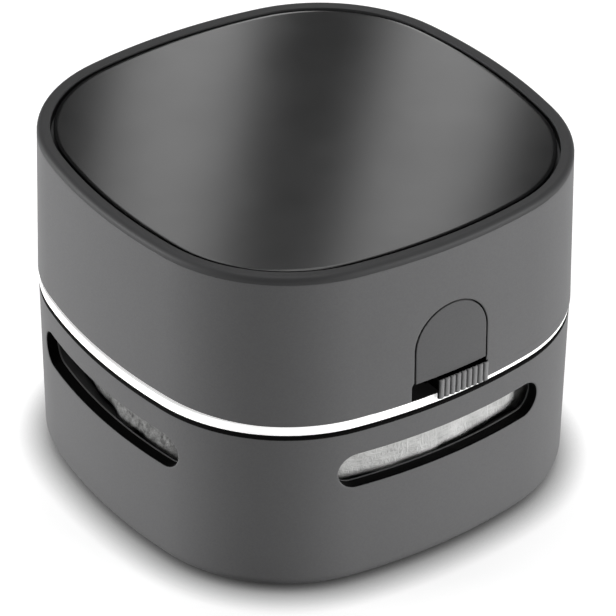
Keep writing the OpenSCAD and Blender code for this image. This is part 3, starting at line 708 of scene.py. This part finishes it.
def vent_patch(quarter, columns, rows, centre, reach, low, high, outer, middle, half, radius, edge=0.35):
    """A slot through a side wall: rows of points from the outer border, through the wall, to the inner border.

    On the face each point slides from the border to the slot in a straight line. The edge is a quarter round: at angle
    t the slot is wider by edge times (1 - sin t) and the depth is edge times (1 - cos t). The paint ends in that round.
    The inner edge of the slot is given the grey paint as a painted highlight, for the light that edge catches.
    """
    a, z = border_of(columns, rows, centre, reach, low, high)
    paint_ends, edge_highlight_depth = math.radians(60), 0.28
    result, kinds = [], []

    def add(x, height, depth, kind):
        offset = outer(height) - depth
        result.append(place(BODY, quarter, facing(BODY, x, offset), offset, height))
        kinds.append(kind)

    x_out = across(BODY, a, outer(z))
    wide_x, wide_z = stadium(x_out, z - middle, half, radius + edge)
    for w in (0, 0.25, 0.5, 0.75, 0.93, 1):
        add(x_out + (wide_x - x_out) * w, z + (wide_z + middle - z) * w, 0, PAINTED)
    for t in np.radians([22.5, 45, 67.5, 90]):
        x, v = stadium(x_out, z - middle, half, radius + edge * (1 - math.sin(t)))
        add(x, v + middle, edge * (1 - math.cos(t)), BLACK if t > paint_ends else PAINTED)
    for depth in (0.5, 0.9, 1.4, WALL - edge_highlight_depth):
        add(x, v + middle, depth, BLACK)
    # painted highlight: the slot's inner edge gets the casing's grey
    add(x, v + middle, WALL, PAINTED)
    x_in = across(BODY, a, outer(z) - WALL)
    for w in (0.4, 1):
        add(x + (x_in - x) * w, v + middle + (z - v - middle) * w, WALL, BLACK)
    points = np.stack(result)
    return grid(points, np.array(kinds[1:])[:, None], wrap_columns=True)


# %% Lower casing
VENT_LOW, VENT_HIGH, VENT_OUT = 17.9, 28.6, 0.5  # between these rows a vent has its patch; the face's offset there
ROUND_STARTS, PATCH_HALF = 15.3, 22.6  # along a side: columns stand closer from here to the patch's end
x_lines = spread((0, ROUND_STARTS, 11), (ROUND_STARTS, PATCH_HALF, 17))
side_angles = facing(BODY, np.concatenate([-x_lines[:0:-1], x_lines]), VENT_OUT)
corner_angles = np.radians(spread((math.degrees(side_angles[-1]), 45, 9)))[1:]
lower_columns = np.concatenate([-corner_angles[::-1], side_angles, corner_angles])[:-1]
side_middle, vent_reach = corner_angles.size + x_lines.size - 1, x_lines.size - 1

Z_FLOOR, Z_LEDGE, LEDGE, FOOT = 3.0, 16.2, 2.4, 2.5  # inside: floor, ledge under the filter; outside: the foot's radius
BORE_OFFSETS = [-8.2, -7.2, -6.2, -5.2, -4.2, -3.2, -2.3]
BORE_OUT, BORE_RADIUS, BORE_EDGE, Z_BORE, BORE_COLUMNS = -5.2, 2.2, 0.15, 2.1, 2
vent_rows = spread((VENT_LOW, VENT_HIGH, 24))
wall_up = np.stack([lower_offset(vent_rows), vent_rows], -1)
inside = lambda z: lower_offset(z) - WALL
profile = np.concatenate([
    [[-10, Z_BASE], [-9.9, Z_BASE]], [[o, Z_BASE] for o in BORE_OFFSETS],
    bend(lower_offset(Z_BASE + FOOT) - FOOT, Z_BASE + FOOT, FOOT, -90, 0, 12), on_face(lower_offset, 3.8, 8, 13),
    wall_up, on_face(lower_offset, 29.6, 30.9), bend(0.2, 31.1, 0.4, 0, 90, 6),
    [[0.0, Z_LOWER_TOP]], bend(inside(Z_LOWER_TOP) + 0.25, 31.25, 0.25, 90, 180, 3), on_face(inside, 30.0),
    (wall_up - [WALL, 0])[::-1],
    [[inside(Z_LEDGE), Z_LEDGE], [inside(Z_LEDGE) - LEDGE, Z_LEDGE], [inside(Z_LEDGE) - LEDGE, Z_LEDGE - 1.0],
     [inside(Z_LEDGE), 13.52], [inside(Z_FLOOR), Z_FLOOR], [-10, Z_FLOOR]]])
foot_row = 2 + len(BORE_OFFSETS)
low = int(np.argmin(np.abs(profile[:, 1] - VENT_LOW) + 9 * (profile[:, 0] < 0)))
inner_high = int(np.argmin(np.abs(profile[:, 1] - VENT_HIGH) + 9 * (profile[:, 0] > 0)))
high, inner_low = low + vent_rows.size - 1, inner_high + vent_rows.size - 1


def screw_bore(quarter):
    """A counterbore in the underside: rows of points from the patch's border to a circle, up the bore, and to
    the middle of its floor."""
    a, offset = border_of(lower_columns, np.array(BORE_OFFSETS), side_middle, BORE_COLUMNS, 0, len(BORE_OFFSETS) - 1)
    border = place(BODY, quarter, a, offset, Z_BASE)
    centre = place(BODY, quarter, 0.0, BORE_OUT, Z_BASE)
    way = (border - centre) / np.linalg.norm(border - centre, axis=-1, keepdims=True)
    circle = lambda radius, rise: centre + way * radius + [0, 0, rise]
    deep, mouth = Z_BORE - Z_BASE, circle(BORE_RADIUS + BORE_EDGE, 0)
    return grid(np.stack([border, (border + mouth) / 2, mouth, circle(BORE_RADIUS, BORE_EDGE),
                          circle(BORE_RADIUS, deep / 2), circle(BORE_RADIUS, deep), circle(BORE_RADIUS * 0.6, deep),
                          circle(0, deep)]), BLACK, wrap_columns=True)


ring = place(BODY, *all_round(lower_columns), profile[:, 0], profile[:, 1])
keep = np.ones(ring.shape[:2], bool)
for middle in np.arange(4) * lower_columns.size + side_middle:
    leave_out(keep, middle, vent_reach, low, high)
    leave_out(keep, middle, vent_reach, inner_high, inner_low)
    leave_out(keep, middle, BORE_COLUMNS, 2, foot_row - 1)
row_number = np.arange(len(profile))
# the rows from z 30.9 up to the band are black as painted shade of the gap
painted_rows = (row_number >= foot_row) & (row_number < high + 2)  # from the foot up to z 30.9; above it the top edge is black, painted shade of the gap under the band
casing = [grid(ring, np.where(painted_rows, PAINTED, BLACK), keep, wrap_rows=True, wrap_columns=True)]
for q in range(4):
    casing.append(vent_patch(q, lower_columns, profile[:, 1], side_middle, vent_reach, low, high,
                             lower_offset, VENT_MIDDLE, VENT_HALF, VENT_RADIUS))
    casing.append(screw_bore(q))
piece("lower_casing", casing, [shell_grey, bare_black], "dust_box", replaces=["lower_shell"])

# %% [markdown]
# ## The upper casing
#
# The motor cover has the same outline. At the front it has an arched recess for a
# cover plate, which runs down into the notch that the slide knob's stem moves in,
# and at the rear a small slot for the charging plug. The recess is a second patch:
# an open strip from the grid's border to the arch, then a round edge, a wall, and
# the floor of the recess as rows of chords. On the photograph the white band under
# this casing is wide at the left and thin at the right. So its lower edge is lifted
# at the left, and to the right of the knob a thin lip hangs from it.

# %% Upper casing
ARCH_HALF, ARCH_MIDDLE, Z_NOTCH, POCKET = 7.35, 42.5, 36.3, 1.0
ARCH_AXIS, ARCH_NARROWER, ARCH_SHIFT = 0.3, 0.15, 0.6  # above the notch: to the right, narrower; height of the change
NOTCH_BACK, ARCH_EDGE = -1.55, 0.15  # offset of the wall's inside at the notch; round of the recess's edge
PATCH_X, PATCH_OUT = 13.2, 0.4  # where the patch round the recess ends on the face, and the face's offset there
USB_MIDDLE, USB_HALF, USB_RADIUS, USB_COLUMNS = 38.6, 2.9, 2.0, 6
RAISED, DROPPED = 0.65, 1.0  # how far the edge is lifted, how far the lip hangs
LIFT_X, LIFT_FRONT, LIFT_REAR = (-14, -9), (-32, 14), (32, -8)  # where the lift starts, and its way to the full height
LIP_ENDS, LIP_TAPER, LIP_COLUMNS = 82, -34, 50  # degrees from the front, its way to the full drop there
LIP_LAP, LIP_PROUD, LIP_ROUND, LIP_BACK = 0.5, 0.004, 0.12, 0.14


def arch(x, z, grow):
    """Where the way from (x, z) to the arch meets it: level with z on the straight sides, along the radius above
    the arch's middle."""
    above = part_way(z, Z_NOTCH, ARCH_SHIFT)
    axis, reach = ARCH_AXIS * above, ARCH_HALF - ARCH_NARROWER * above + grow
    length = np.hypot(x - axis, np.maximum(z - ARCH_MIDDLE, 0))
    straight = z < ARCH_MIDDLE
    return (axis + np.where(straight, np.sign(x), (x - axis) / length) * reach,
            np.where(straight, z, ARCH_MIDDLE + (z - ARCH_MIDDLE) / length * reach))


notch_angle, patch_angle = float(facing(BODY, ARCH_HALF, NOTCH_BACK)), float(facing(BODY, PATCH_X, PATCH_OUT))
notch_steps, patch_steps = 7, 13
half_angles = np.unique(np.round(np.concatenate([
    np.linspace(0, notch_angle, notch_steps + 1), np.linspace(notch_angle, patch_angle, patch_steps - notch_steps + 1),
    np.linspace(patch_angle, math.pi / 4, 15)]), 12))
upper_columns = np.concatenate([-half_angles[:0:-1], half_angles])[:-1]
centre = half_angles.size - 1
notch_columns = upper_columns[centre - notch_steps:centre + notch_steps + 1]

bottom_rows = Z_UPPER + np.array([0, 0.03, 0.08, 0.2, 0.6, 1.5])
wall_rows = np.concatenate([bottom_rows, spread((Z_NOTCH, 53.1, 28))])
outer_wall = np.stack([upper_offset(wall_rows), wall_rows], -1)
inner_wall = np.stack([upper_face(wall_rows) - WALL, wall_rows], -1)
upper_profile = np.concatenate([
    outer_wall, on_face(upper_offset, 55.5, 58.6, 59.35),
    [[upper_offset(59.5) - 0.03, 59.52], [-0.08, Z_UPPER_TOP], [-1.2, Z_UPPER_TOP], [-1.2, 56.4]],
    [[upper_face(56.4) - WALL, 56.4]], inner_wall[::-1]])
rows_out, last = wall_rows.size, len(upper_profile) - 1
pocket_row = int(np.argmin(np.abs(wall_rows - Z_NOTCH)))
ring = place(BODY, *all_round(upper_columns), upper_profile[:, 0], upper_profile[:, 1])
x, y, z = ring[..., 0], ring[..., 1], ring[..., 2]
lift = part_way(x, *LIFT_X) * part_way(y, *LIFT_FRONT) * part_way(y, *LIFT_REAR)
ring[..., 2] += RAISED * lift * part_way(z, Z_NOTCH, Z_UPPER - Z_NOTCH)
keep = np.ones(ring.shape[:2], bool)
front, rear = 3 * upper_columns.size + centre, upper_columns.size + centre
usb_low, usb_high = 3, int(np.argmin(np.abs(wall_rows - 43.5)))
leave_out(keep, front, patch_steps, 0, rows_out - 1)  # arch strip on the face
leave_out(keep, front, patch_steps, last, last + 1)  # its lower edge
leave_out(keep, front, notch_steps, last - pocket_row, last)  # notch in the inner wall
leave_out(keep, rear, USB_COLUMNS, usb_low, usb_high)
leave_out(keep, rear, USB_COLUMNS, last - usb_high, last - usb_low)
painted_rows = np.arange(last + 1) < rows_out + 4  # the outside and its rounded top edge
casing = [grid(ring, np.where(painted_rows, PAINTED, BLACK), keep, wrap_rows=True, wrap_columns=True)]

# the strip's border: inner lower edge, up the left side, along the top, down the right side, inner lower edge
top_columns = np.concatenate([-half_angles[patch_steps:0:-1], half_angles[:patch_steps + 1]])
border_a = np.concatenate([np.full(rows_out - 1, top_columns[0]), top_columns, np.full(rows_out - 1, top_columns[-1])])
border_z = np.concatenate([wall_rows[:-1], np.full(top_columns.size, wall_rows[-1]), wall_rows[:-1][::-1]])
border_x = across(BODY, border_a, upper_offset(border_z))
grown_x, grown_z = arch(border_x, border_z, ARCH_EDGE)
inner_columns = half_angles[patch_steps:notch_steps - 1:-1]  # from the border to the notch, on the inner wall
strip, kinds = [], []


def strip_row(x, z, depth, under, kind):
    """One row of the strip on the face, with the point of the casing's inner lower edge that it ends on at
    either hand."""
    offset = upper_offset(z) - depth
    ends = place(BODY, 3, np.array([-under, under]), inner_wall[0, 0], Z_UPPER)
    strip.append(np.concatenate([ends[:1], place(BODY, 3, facing(BODY, x, offset), offset, z), ends[1:]]))
    kinds.append(kind)


for under, w in zip(inner_columns, (0, 0.16, 0.36, 0.58, 0.8, 0.94, 1)):
    strip_row(border_x + (grown_x - border_x) * w, border_z + (grown_z - border_z) * w, 0, under, PAINTED)
for t in np.radians([30, 60, 90]):
    x, z = arch(border_x, border_z, ARCH_EDGE * (1 - math.sin(t)))
    strip_row(x, z, ARCH_EDGE * (1 - math.cos(t)), notch_angle, PAINTED)
for depth in (0.4, 0.7, POCKET):
    strip_row(x, z, depth, notch_angle, BLACK)
casing.append(grid(np.stack(strip), np.array(kinds[1:])[:, None]))

# recess floor: chords between the two hands of the arch, then the notch's ceiling and sides
x, z = arch(border_x, border_z, 0)
left = np.arange(pocket_row, border_z.size // 2 + 1)
opposite = border_z.size - 1 - left
share = across(BODY, notch_columns, NOTCH_BACK)
share = (share / share[-1] + 1) / 2
floor_x = x[left][:, None] + (x[opposite] - x[left])[:, None] * share
floor_z = z[left][:, None] + (z[opposite] - z[left])[:, None] * share
floor_offset = upper_offset(floor_z) - POCKET
recess_floor = place(BODY, 3, facing(BODY, floor_x, floor_offset), floor_offset, floor_z)
casing.append(grid(recess_floor, BLACK))
ceiling_in = place(BODY, 3, notch_columns, inner_wall[pocket_row, 0], Z_NOTCH)
casing.append(grid(np.stack([ceiling_in, recess_floor[0]]), BLACK))
rows_notch = wall_rows[:pocket_row + 1]
for hand in (-1, 1):
    offset = upper_offset(rows_notch) - POCKET
    near = place(BODY, 3, facing(BODY, np.full(rows_notch.size, hand * ARCH_HALF), offset), offset, rows_notch)
    far = place(BODY, 3, np.full(rows_notch.size, hand * notch_angle), inner_wall[:pocket_row + 1, 0], rows_notch)
    casing.append(grid(np.stack([near, far]), BLACK))

# the lip: six points in section, from the face down to its rounded front, along its underside and up its back
lip_turns = np.linspace(notch_angle, math.radians(LIP_ENDS), LIP_COLUMNS)[:, None]
drop = DROPPED * part_way(np.degrees(lip_turns), LIP_ENDS, LIP_TAPER)
z_lip = Z_UPPER + np.array([LIP_LAP, 0, 0, 0, 0, LIP_LAP]) + drop * [0, -0.85, -1, -1, 0, 0]
lip_offset = upper_face(z_lip) + LIP_PROUD
lip_offset[:, 2] -= LIP_ROUND
lip_offset[:, 3:] = LIP_BACK
past_corner = lip_turns > math.pi / 4
lip = place(BODY, np.where(past_corner, 0, 3), lip_turns - np.where(past_corner, math.pi / 2, 0), lip_offset, z_lip)
ends = np.repeat(lip[[0, -1]].mean(1)[:, None], lip.shape[1], 1)
casing.append(grid(np.concatenate([ends[:1], lip, ends[1:]]), wrap_columns=True))
casing.append(vent_patch(1, upper_columns, upper_profile[:, 1], centre, USB_COLUMNS, usb_low, usb_high,
                         upper_offset, USB_MIDDLE, USB_HALF, USB_RADIUS, edge=0.2))
piece("upper_casing", casing, [shell_grey, bare_black], "head", replaces=["upper_shell"])

# %% [markdown]
# ## The soft rim and the glossy plate
#
# A soft dark rim closes the top of the casing. Its outer edge is well rounded and
# its top falls a little inwards, to a narrow groove round the glossy plate. The rim
# is again a profile carried round the outline. The plate is a stack of outlines that
# shrink to the middle, so its top is truly flat and mirrors without waves, and its
# edge has a fine round that catches light.

# %% Soft rim
rim_profile = np.concatenate([
    bend(-0.12, 59.72, 0.12, -90, 0, 3), [[0, 59.85]], bend(-0.9, 60.0, 0.9, 0, 90, 12),
    [[-1.05, 60.88], [-1.95, 60.79]], bend(-2.08, 60.64, 0.12, 75, 180, 4),
    [[-2.2, 60.4], [-2.2, 58.9], [-6.0, 58.9], [-6.0, 57.9], [-2.2, 57.9], [-2.2, 56.6], [-1.3, 56.6],
     [-1.3, Z_UPPER_TOP], [-0.5, Z_UPPER_TOP]]])
around_body = all_round(even_angles(BODY, 10, 22))
rim = place(BODY, *around_body, rim_profile[:, 0], rim_profile[:, 1])
piece("soft_rim", [grid(rim, wrap_rows=True, wrap_columns=True)], [rim_dark], "head",
      replaces=["top_trim"])

# %% Glossy plate
PLATE_OFFSET, PLATE_ROUND, PLATE_UNDER, Z_PLATE, Z_PLATE_TOP = -2.75, 0.14, 0.1, 58.9, 60.5
round_at = (PLATE_OFFSET - PLATE_ROUND, Z_PLATE_TOP - PLATE_ROUND)
shrink = np.array([0, 0.15, 0.4, 0.7, 0.9, 0.985])
edge_rows = np.concatenate([bend(*round_at, PLATE_ROUND, 90, 0, 4), [
    [PLATE_OFFSET, Z_PLATE + PLATE_UNDER], [PLATE_OFFSET - PLATE_UNDER, Z_PLATE]]])
scale = np.concatenate([shrink, np.ones(len(edge_rows)), shrink[::-1]])
rows = np.concatenate([np.tile([[round_at[0], Z_PLATE_TOP]], (shrink.size, 1)), edge_rows,
                       np.tile([[PLATE_OFFSET - PLATE_UNDER, Z_PLATE]], (shrink.size, 1))])
plate = place(BODY, *around_body, rows[:, 0], rows[:, 1])
plate[..., :2] *= scale[:, None]
piece("glossy_plate", [grid(plate, wrap_rows=True)], [panel_gloss], "head", replaces=["top_panel"])

# %% [markdown]
# ## The arched cover plate
#
# A thin plate lies in the recess above the knob, flush with the casing, with a
# hairline gap round it. Its outline is drawn as a function of how far it is shrunk,
# so the rounded edge is a few outlines that are smaller the nearer they lie to the
# surface.

# %% Arched cover plate
COVER_GAP, COVER_ROUND, COVER_MIDDLE, Z_COVER = 0.25, 0.13, 43, 36.6


def cover_outline(shrunk):
    """Closed outline: up the left side, a half circle round the arch's middle, COVER_GAP smaller than the recess
    and shrunk further, down the right side, back along the bottom."""
    r = ARCH_HALF - ARCH_NARROWER - COVER_GAP - shrunk
    t = np.linspace(math.pi, 0, 40)
    side = np.linspace(Z_COVER + shrunk, ARCH_MIDDLE, 12)[:-1]
    bottom = np.linspace(1, -1, 18)[1:-1] * r
    x = np.concatenate([np.full(side.size, -r), r * np.cos(t), np.full(side.size, r), bottom])
    z = np.concatenate([side, ARCH_MIDDLE + r * np.sin(t), side[::-1], np.full(bottom.size, Z_COVER + shrunk)])
    return x, z


def cover_row(shrunk, depth, share=1.0):
    """One outline of the plate at a depth under the casing's face, drawn together towards the plate's middle by
    share."""
    x, z = cover_outline(shrunk)
    x, z = ARCH_AXIS + x * share, COVER_MIDDLE + (z - COVER_MIDDLE) * share
    offset = upper_face(z) - depth
    return place(BODY, 3, facing(BODY, x, offset), offset, z)


rows = [cover_row(COVER_ROUND, 0, share) for share in (0, 0.3, 0.6, 0.85, 0.97)]
for t in np.radians([0, 25, 50, 75, 90]):
    rows.append(cover_row(COVER_ROUND * (1 - math.sin(t)), COVER_ROUND * (1 - math.cos(t))))
rows += [cover_row(0.0, 0.5)] + [cover_row(0.05, 0.99, share) for share in (1, 0.6, 0.3, 0)]
piece("arched_cover", [grid(np.stack(rows), wrap_columns=True)], [plate_grey], "head",
      replaces=["arch_plate"])

# %% [markdown]
# ## The slide knob
#
# The knob is a small block with nine upright ribs for the thumb, on a stem that
# goes through the notch. Seen from above it is one outline: the ribs in front, a
# straight back. That outline is stacked upwards, and drawn in a little at the first
# and last levels, which rounds the ends of the ribs. The ends close on a line, not
# a point, so no face folds over another.

# %% Slide knob
def bar(x, front, back, z_low, z_high, edge, material=0):
    """A closed block: front line y(x) and straight back y, stacked from z_low to z_high. At angle t from an end
    the front is drawn in by edge (1 - sin t). Material may be one number for each x."""
    t = np.radians([0, 22.5, 45, 67.5, 90])
    rise, drawn = edge * (1 - np.cos(t)), edge * (1 - np.sin(t))
    levels = np.concatenate([z_low + rise, z_high - rise[::-1]])
    rows = np.zeros((levels.size, 2 * x.size, 3))
    rows[..., 0] = np.concatenate([x, x[::-1]])
    rows[..., 1] = np.concatenate([front, np.full(x.size, back)])
    rows[:, :x.size, 1] += np.concatenate([drawn, drawn[::-1]])[:, None]
    rows[..., 2] = levels[:, None]
    ends = rows[[0, -1]].copy()
    ends[:, :, 1] = (front.mean() + back) / 2
    kinds = np.full((levels.size + 1, 2 * x.size), 1)
    kinds[1:-1, :x.size] = material
    return grid(np.concatenate([ends[:1], rows, ends[1:]]), kinds if np.ndim(material) else material,
                wrap_columns=True)


KNOB_LEFT, KNOB_RIGHT, RIBS, Z_KNOB, Z_KNOB_TOP = -2.75, 7.1, 9, 32.75, 36.4
KNOB_BACK, FACE, RIB = -40.95, 0.25, 0.42
GAP_ENDS, GAP_STARTS = 0.07, 0.93  # a rib lies between these shares of its pitch
STEM_LOW, STEM_TOP, FLANGE_TOP = 33.82, 35.98, 37.22
across_rib = np.concatenate([[0.0, GAP_ENDS], 0.5 - 0.42 * np.cos(np.radians(np.linspace(8, 172, 13))), [GAP_STARTS]])
half_width = (GAP_STARTS - GAP_ENDS) / 2
bulge = np.sqrt(np.clip(1 - ((across_rib - 0.5) / half_width) ** 2, 0, 1)) ** 0.7
# the grooves between the ribs are black: painted shade of the creases
rib_paint_or_gap_shade = np.where((across_rib > GAP_ENDS - 0.01) & (across_rib < GAP_STARTS - 0.01), PAINTED, BLACK)
knob_x = KNOB_LEFT + (np.arange(RIBS)[:, None] + across_rib).ravel() * (KNOB_RIGHT - KNOB_LEFT) / RIBS
knob_x = np.append(knob_x, KNOB_RIGHT)
knob_front = KNOB_BACK - FACE - RIB * np.append(np.tile(bulge, RIBS), 0)
ribs_or_gap_shade = np.append(np.tile(rib_paint_or_gap_shade, RIBS), BLACK)
stem_x, flange_x = np.linspace(KNOB_LEFT + 0.5, KNOB_RIGHT - 0.5, 6), np.linspace(KNOB_LEFT, KNOB_RIGHT, 6)
piece("slide_knob", [
    bar(knob_x, knob_front, KNOB_BACK, Z_KNOB, Z_KNOB_TOP, 0.3, ribs_or_gap_shade),
    bar(stem_x, np.full(6, KNOB_BACK + 0.01), KNOB_BACK + 3.2, STEM_LOW, STEM_TOP, 0.05, BLACK),
    bar(flange_x, np.full(6, KNOB_BACK + 3.1), KNOB_BACK + 4.0, STEM_LOW, FLANGE_TOP, 0.1, BLACK)],
    [knob_grey, bare_black], "switch", replaces=["switch_knob"])

# %% [markdown]
# ## The felt filter
#
# Behind the vents a sleeve of white non-woven felt is pulled over a black cage. It is full from its foot up, drawn in
# at its top, and has been sucked in between the cage's bars behind the middle of the left side, where its colour is
# made darker. Its foot bulges a little and waves. Cloth simulation would give folds that the real one does not have;
# the sleeve is a thin wall whose offset is a function of direction.

# %% Felt filter
FELT, Z_FELT_LOW, Z_FELT_TOP = 1.6, 18.5, 28.5
# directions that the felt faces, in degrees from +X: a change begins, is full, begins to end, has ended
SUCKED_IN = (136, 146, 176.8, 180.6)
FRONT_FOOT, LEFT_FOOT, LEFT_DENT = (256, 262, 269, 272.5), (179, 181.5, 197, 204), (184, 185, 186.5, 188)
CORNER, HEM_LIFT = (281, 291, 308, 318), (183.5, 185, 185.2, 186.6)

quarter, around = all_round(even_angles(FILTER, 26, 72))
direction = np.degrees(around) + quarter * 90
turn = np.radians(direction)
foot_bulge = 0.85 * hump(direction, *FRONT_FOOT)
foot_bulge += 1.1 * hump(direction, *LEFT_FOOT) * (1 - 0.6 * hump(direction, *LEFT_DENT))
hem = Z_FELT_LOW - 0.1 + 0.5 * hump(direction, *HEM_LIFT) + 0.08 * np.sin(turn * 31)
level = np.concatenate([[0, 0.012, 0.03], np.linspace(0.06, 1, 30)])
z = hem + (Z_FELT_TOP - hem) * level
drawn_in = part_way(z, Z_FELT_LOW + 5, 5) ** 2.6
sway = 0.12 * np.sin(turn * 22 + 0.5 * z) + 0.08 * np.sin(turn * 57 + 1.7 * np.sin(z * 0.9))
outer_o = -0.3 - drawn_in + sway - 0.35 * part_way(level, 0.05, -0.05) ** 2
outer_o += hump(direction, *CORNER) + foot_bulge * np.exp(-(level / 0.2) ** 2) - 0.5 * hump(direction, *SUCKED_IN)
inner_o = np.full_like(outer_o, -FELT)
offsets = np.concatenate([(outer_o[:, :1] + inner_o[:, :1]) / 2, outer_o, inner_o], 1)
felt = place(FILTER, quarter, around, offsets, np.concatenate([z[:, :1], z, z[:, ::-1]], 1))
piece("felt_filter", [grid(felt, wrap_rows=True, wrap_columns=True)], [filter_felt], "head", sharp=70,
      replaces=["filter_sleeve"])

# %% [markdown]
# ## The bristles
#
# Two staggered rows of nylon tufts stand in the ring under the base. Each tuft is a
# dozen thin filaments that fan out towards the table. All filaments are computed at
# once: where they start, how they lean and how long they are come from one seeded
# generator, so every run gives the same brush.

# %% Bristles
TUFTS, PER_TUFT, TUFT_RADIUS, THICK = 30, 14, 0.62, 0.1
BRUSH_IN, BRUSH_WIDTH, Z_ROOT, Z_TIP = 14.0, 6.0, 3.0, 0.2
FAN, STRAY, SHORTER, TAPER = 0.35, 0.05, 0.08, 0.35
draw = np.random.default_rng(11)
row, tuft, _ = [v.ravel() for v in np.meshgrid([0, 1], np.arange(TUFTS), np.arange(PER_TUFT), indexing="ij")]
angle = 2 * math.pi * (tuft + row / 2) / TUFTS
radius = BRUSH_IN + BRUSH_WIDTH * (0.28 + 0.44 * row)
spread_r, spread_a = TUFT_RADIUS * np.sqrt(draw.random(row.size)), 2 * math.pi * draw.random(row.size)
local = np.stack([spread_r * np.cos(spread_a), spread_r * np.sin(spread_a)], -1)
root = np.stack([radius * np.cos(angle), radius * np.sin(angle)], -1) + local
lean = local * FAN + draw.normal(0, STRAY, local.shape)
drop = (Z_ROOT - Z_TIP) * (1 - SHORTER * draw.random(row.size))
share = np.array([0.0, 0.5, 1.0])
middle = root[:, None, :] + lean[:, None, :] * share[:, None] ** 2
heights = Z_ROOT - drop[:, None] * share
spin = np.radians([0, 120, 240])
triangle = (THICK * (1 - TAPER * share))[:, None, None] * np.stack([np.cos(spin), np.sin(spin)], -1)
filaments = np.zeros((*heights.shape, 3, 3))
filaments[..., :2] = middle[:, :, None, :] + triangle
filaments[..., 2] = heights[:, :, None]
ends = filaments[:, [0, -1]].mean(2, keepdims=True).repeat(3, 2)
filaments = np.concatenate([ends[:, :1], filaments, ends[:, 1:]], 1)
one = cells(5, 3, wrap_columns=True).reshape(-1, 4)
faces = (one + (np.arange(row.size) * 15)[:, None, None]).reshape(-1, 4)
piece("bristle_tufts", [(filaments.reshape(-1, 3), faces, np.zeros(len(faces), int))], [nylon_grey], "dust_box",
      replaces=["bristles"])
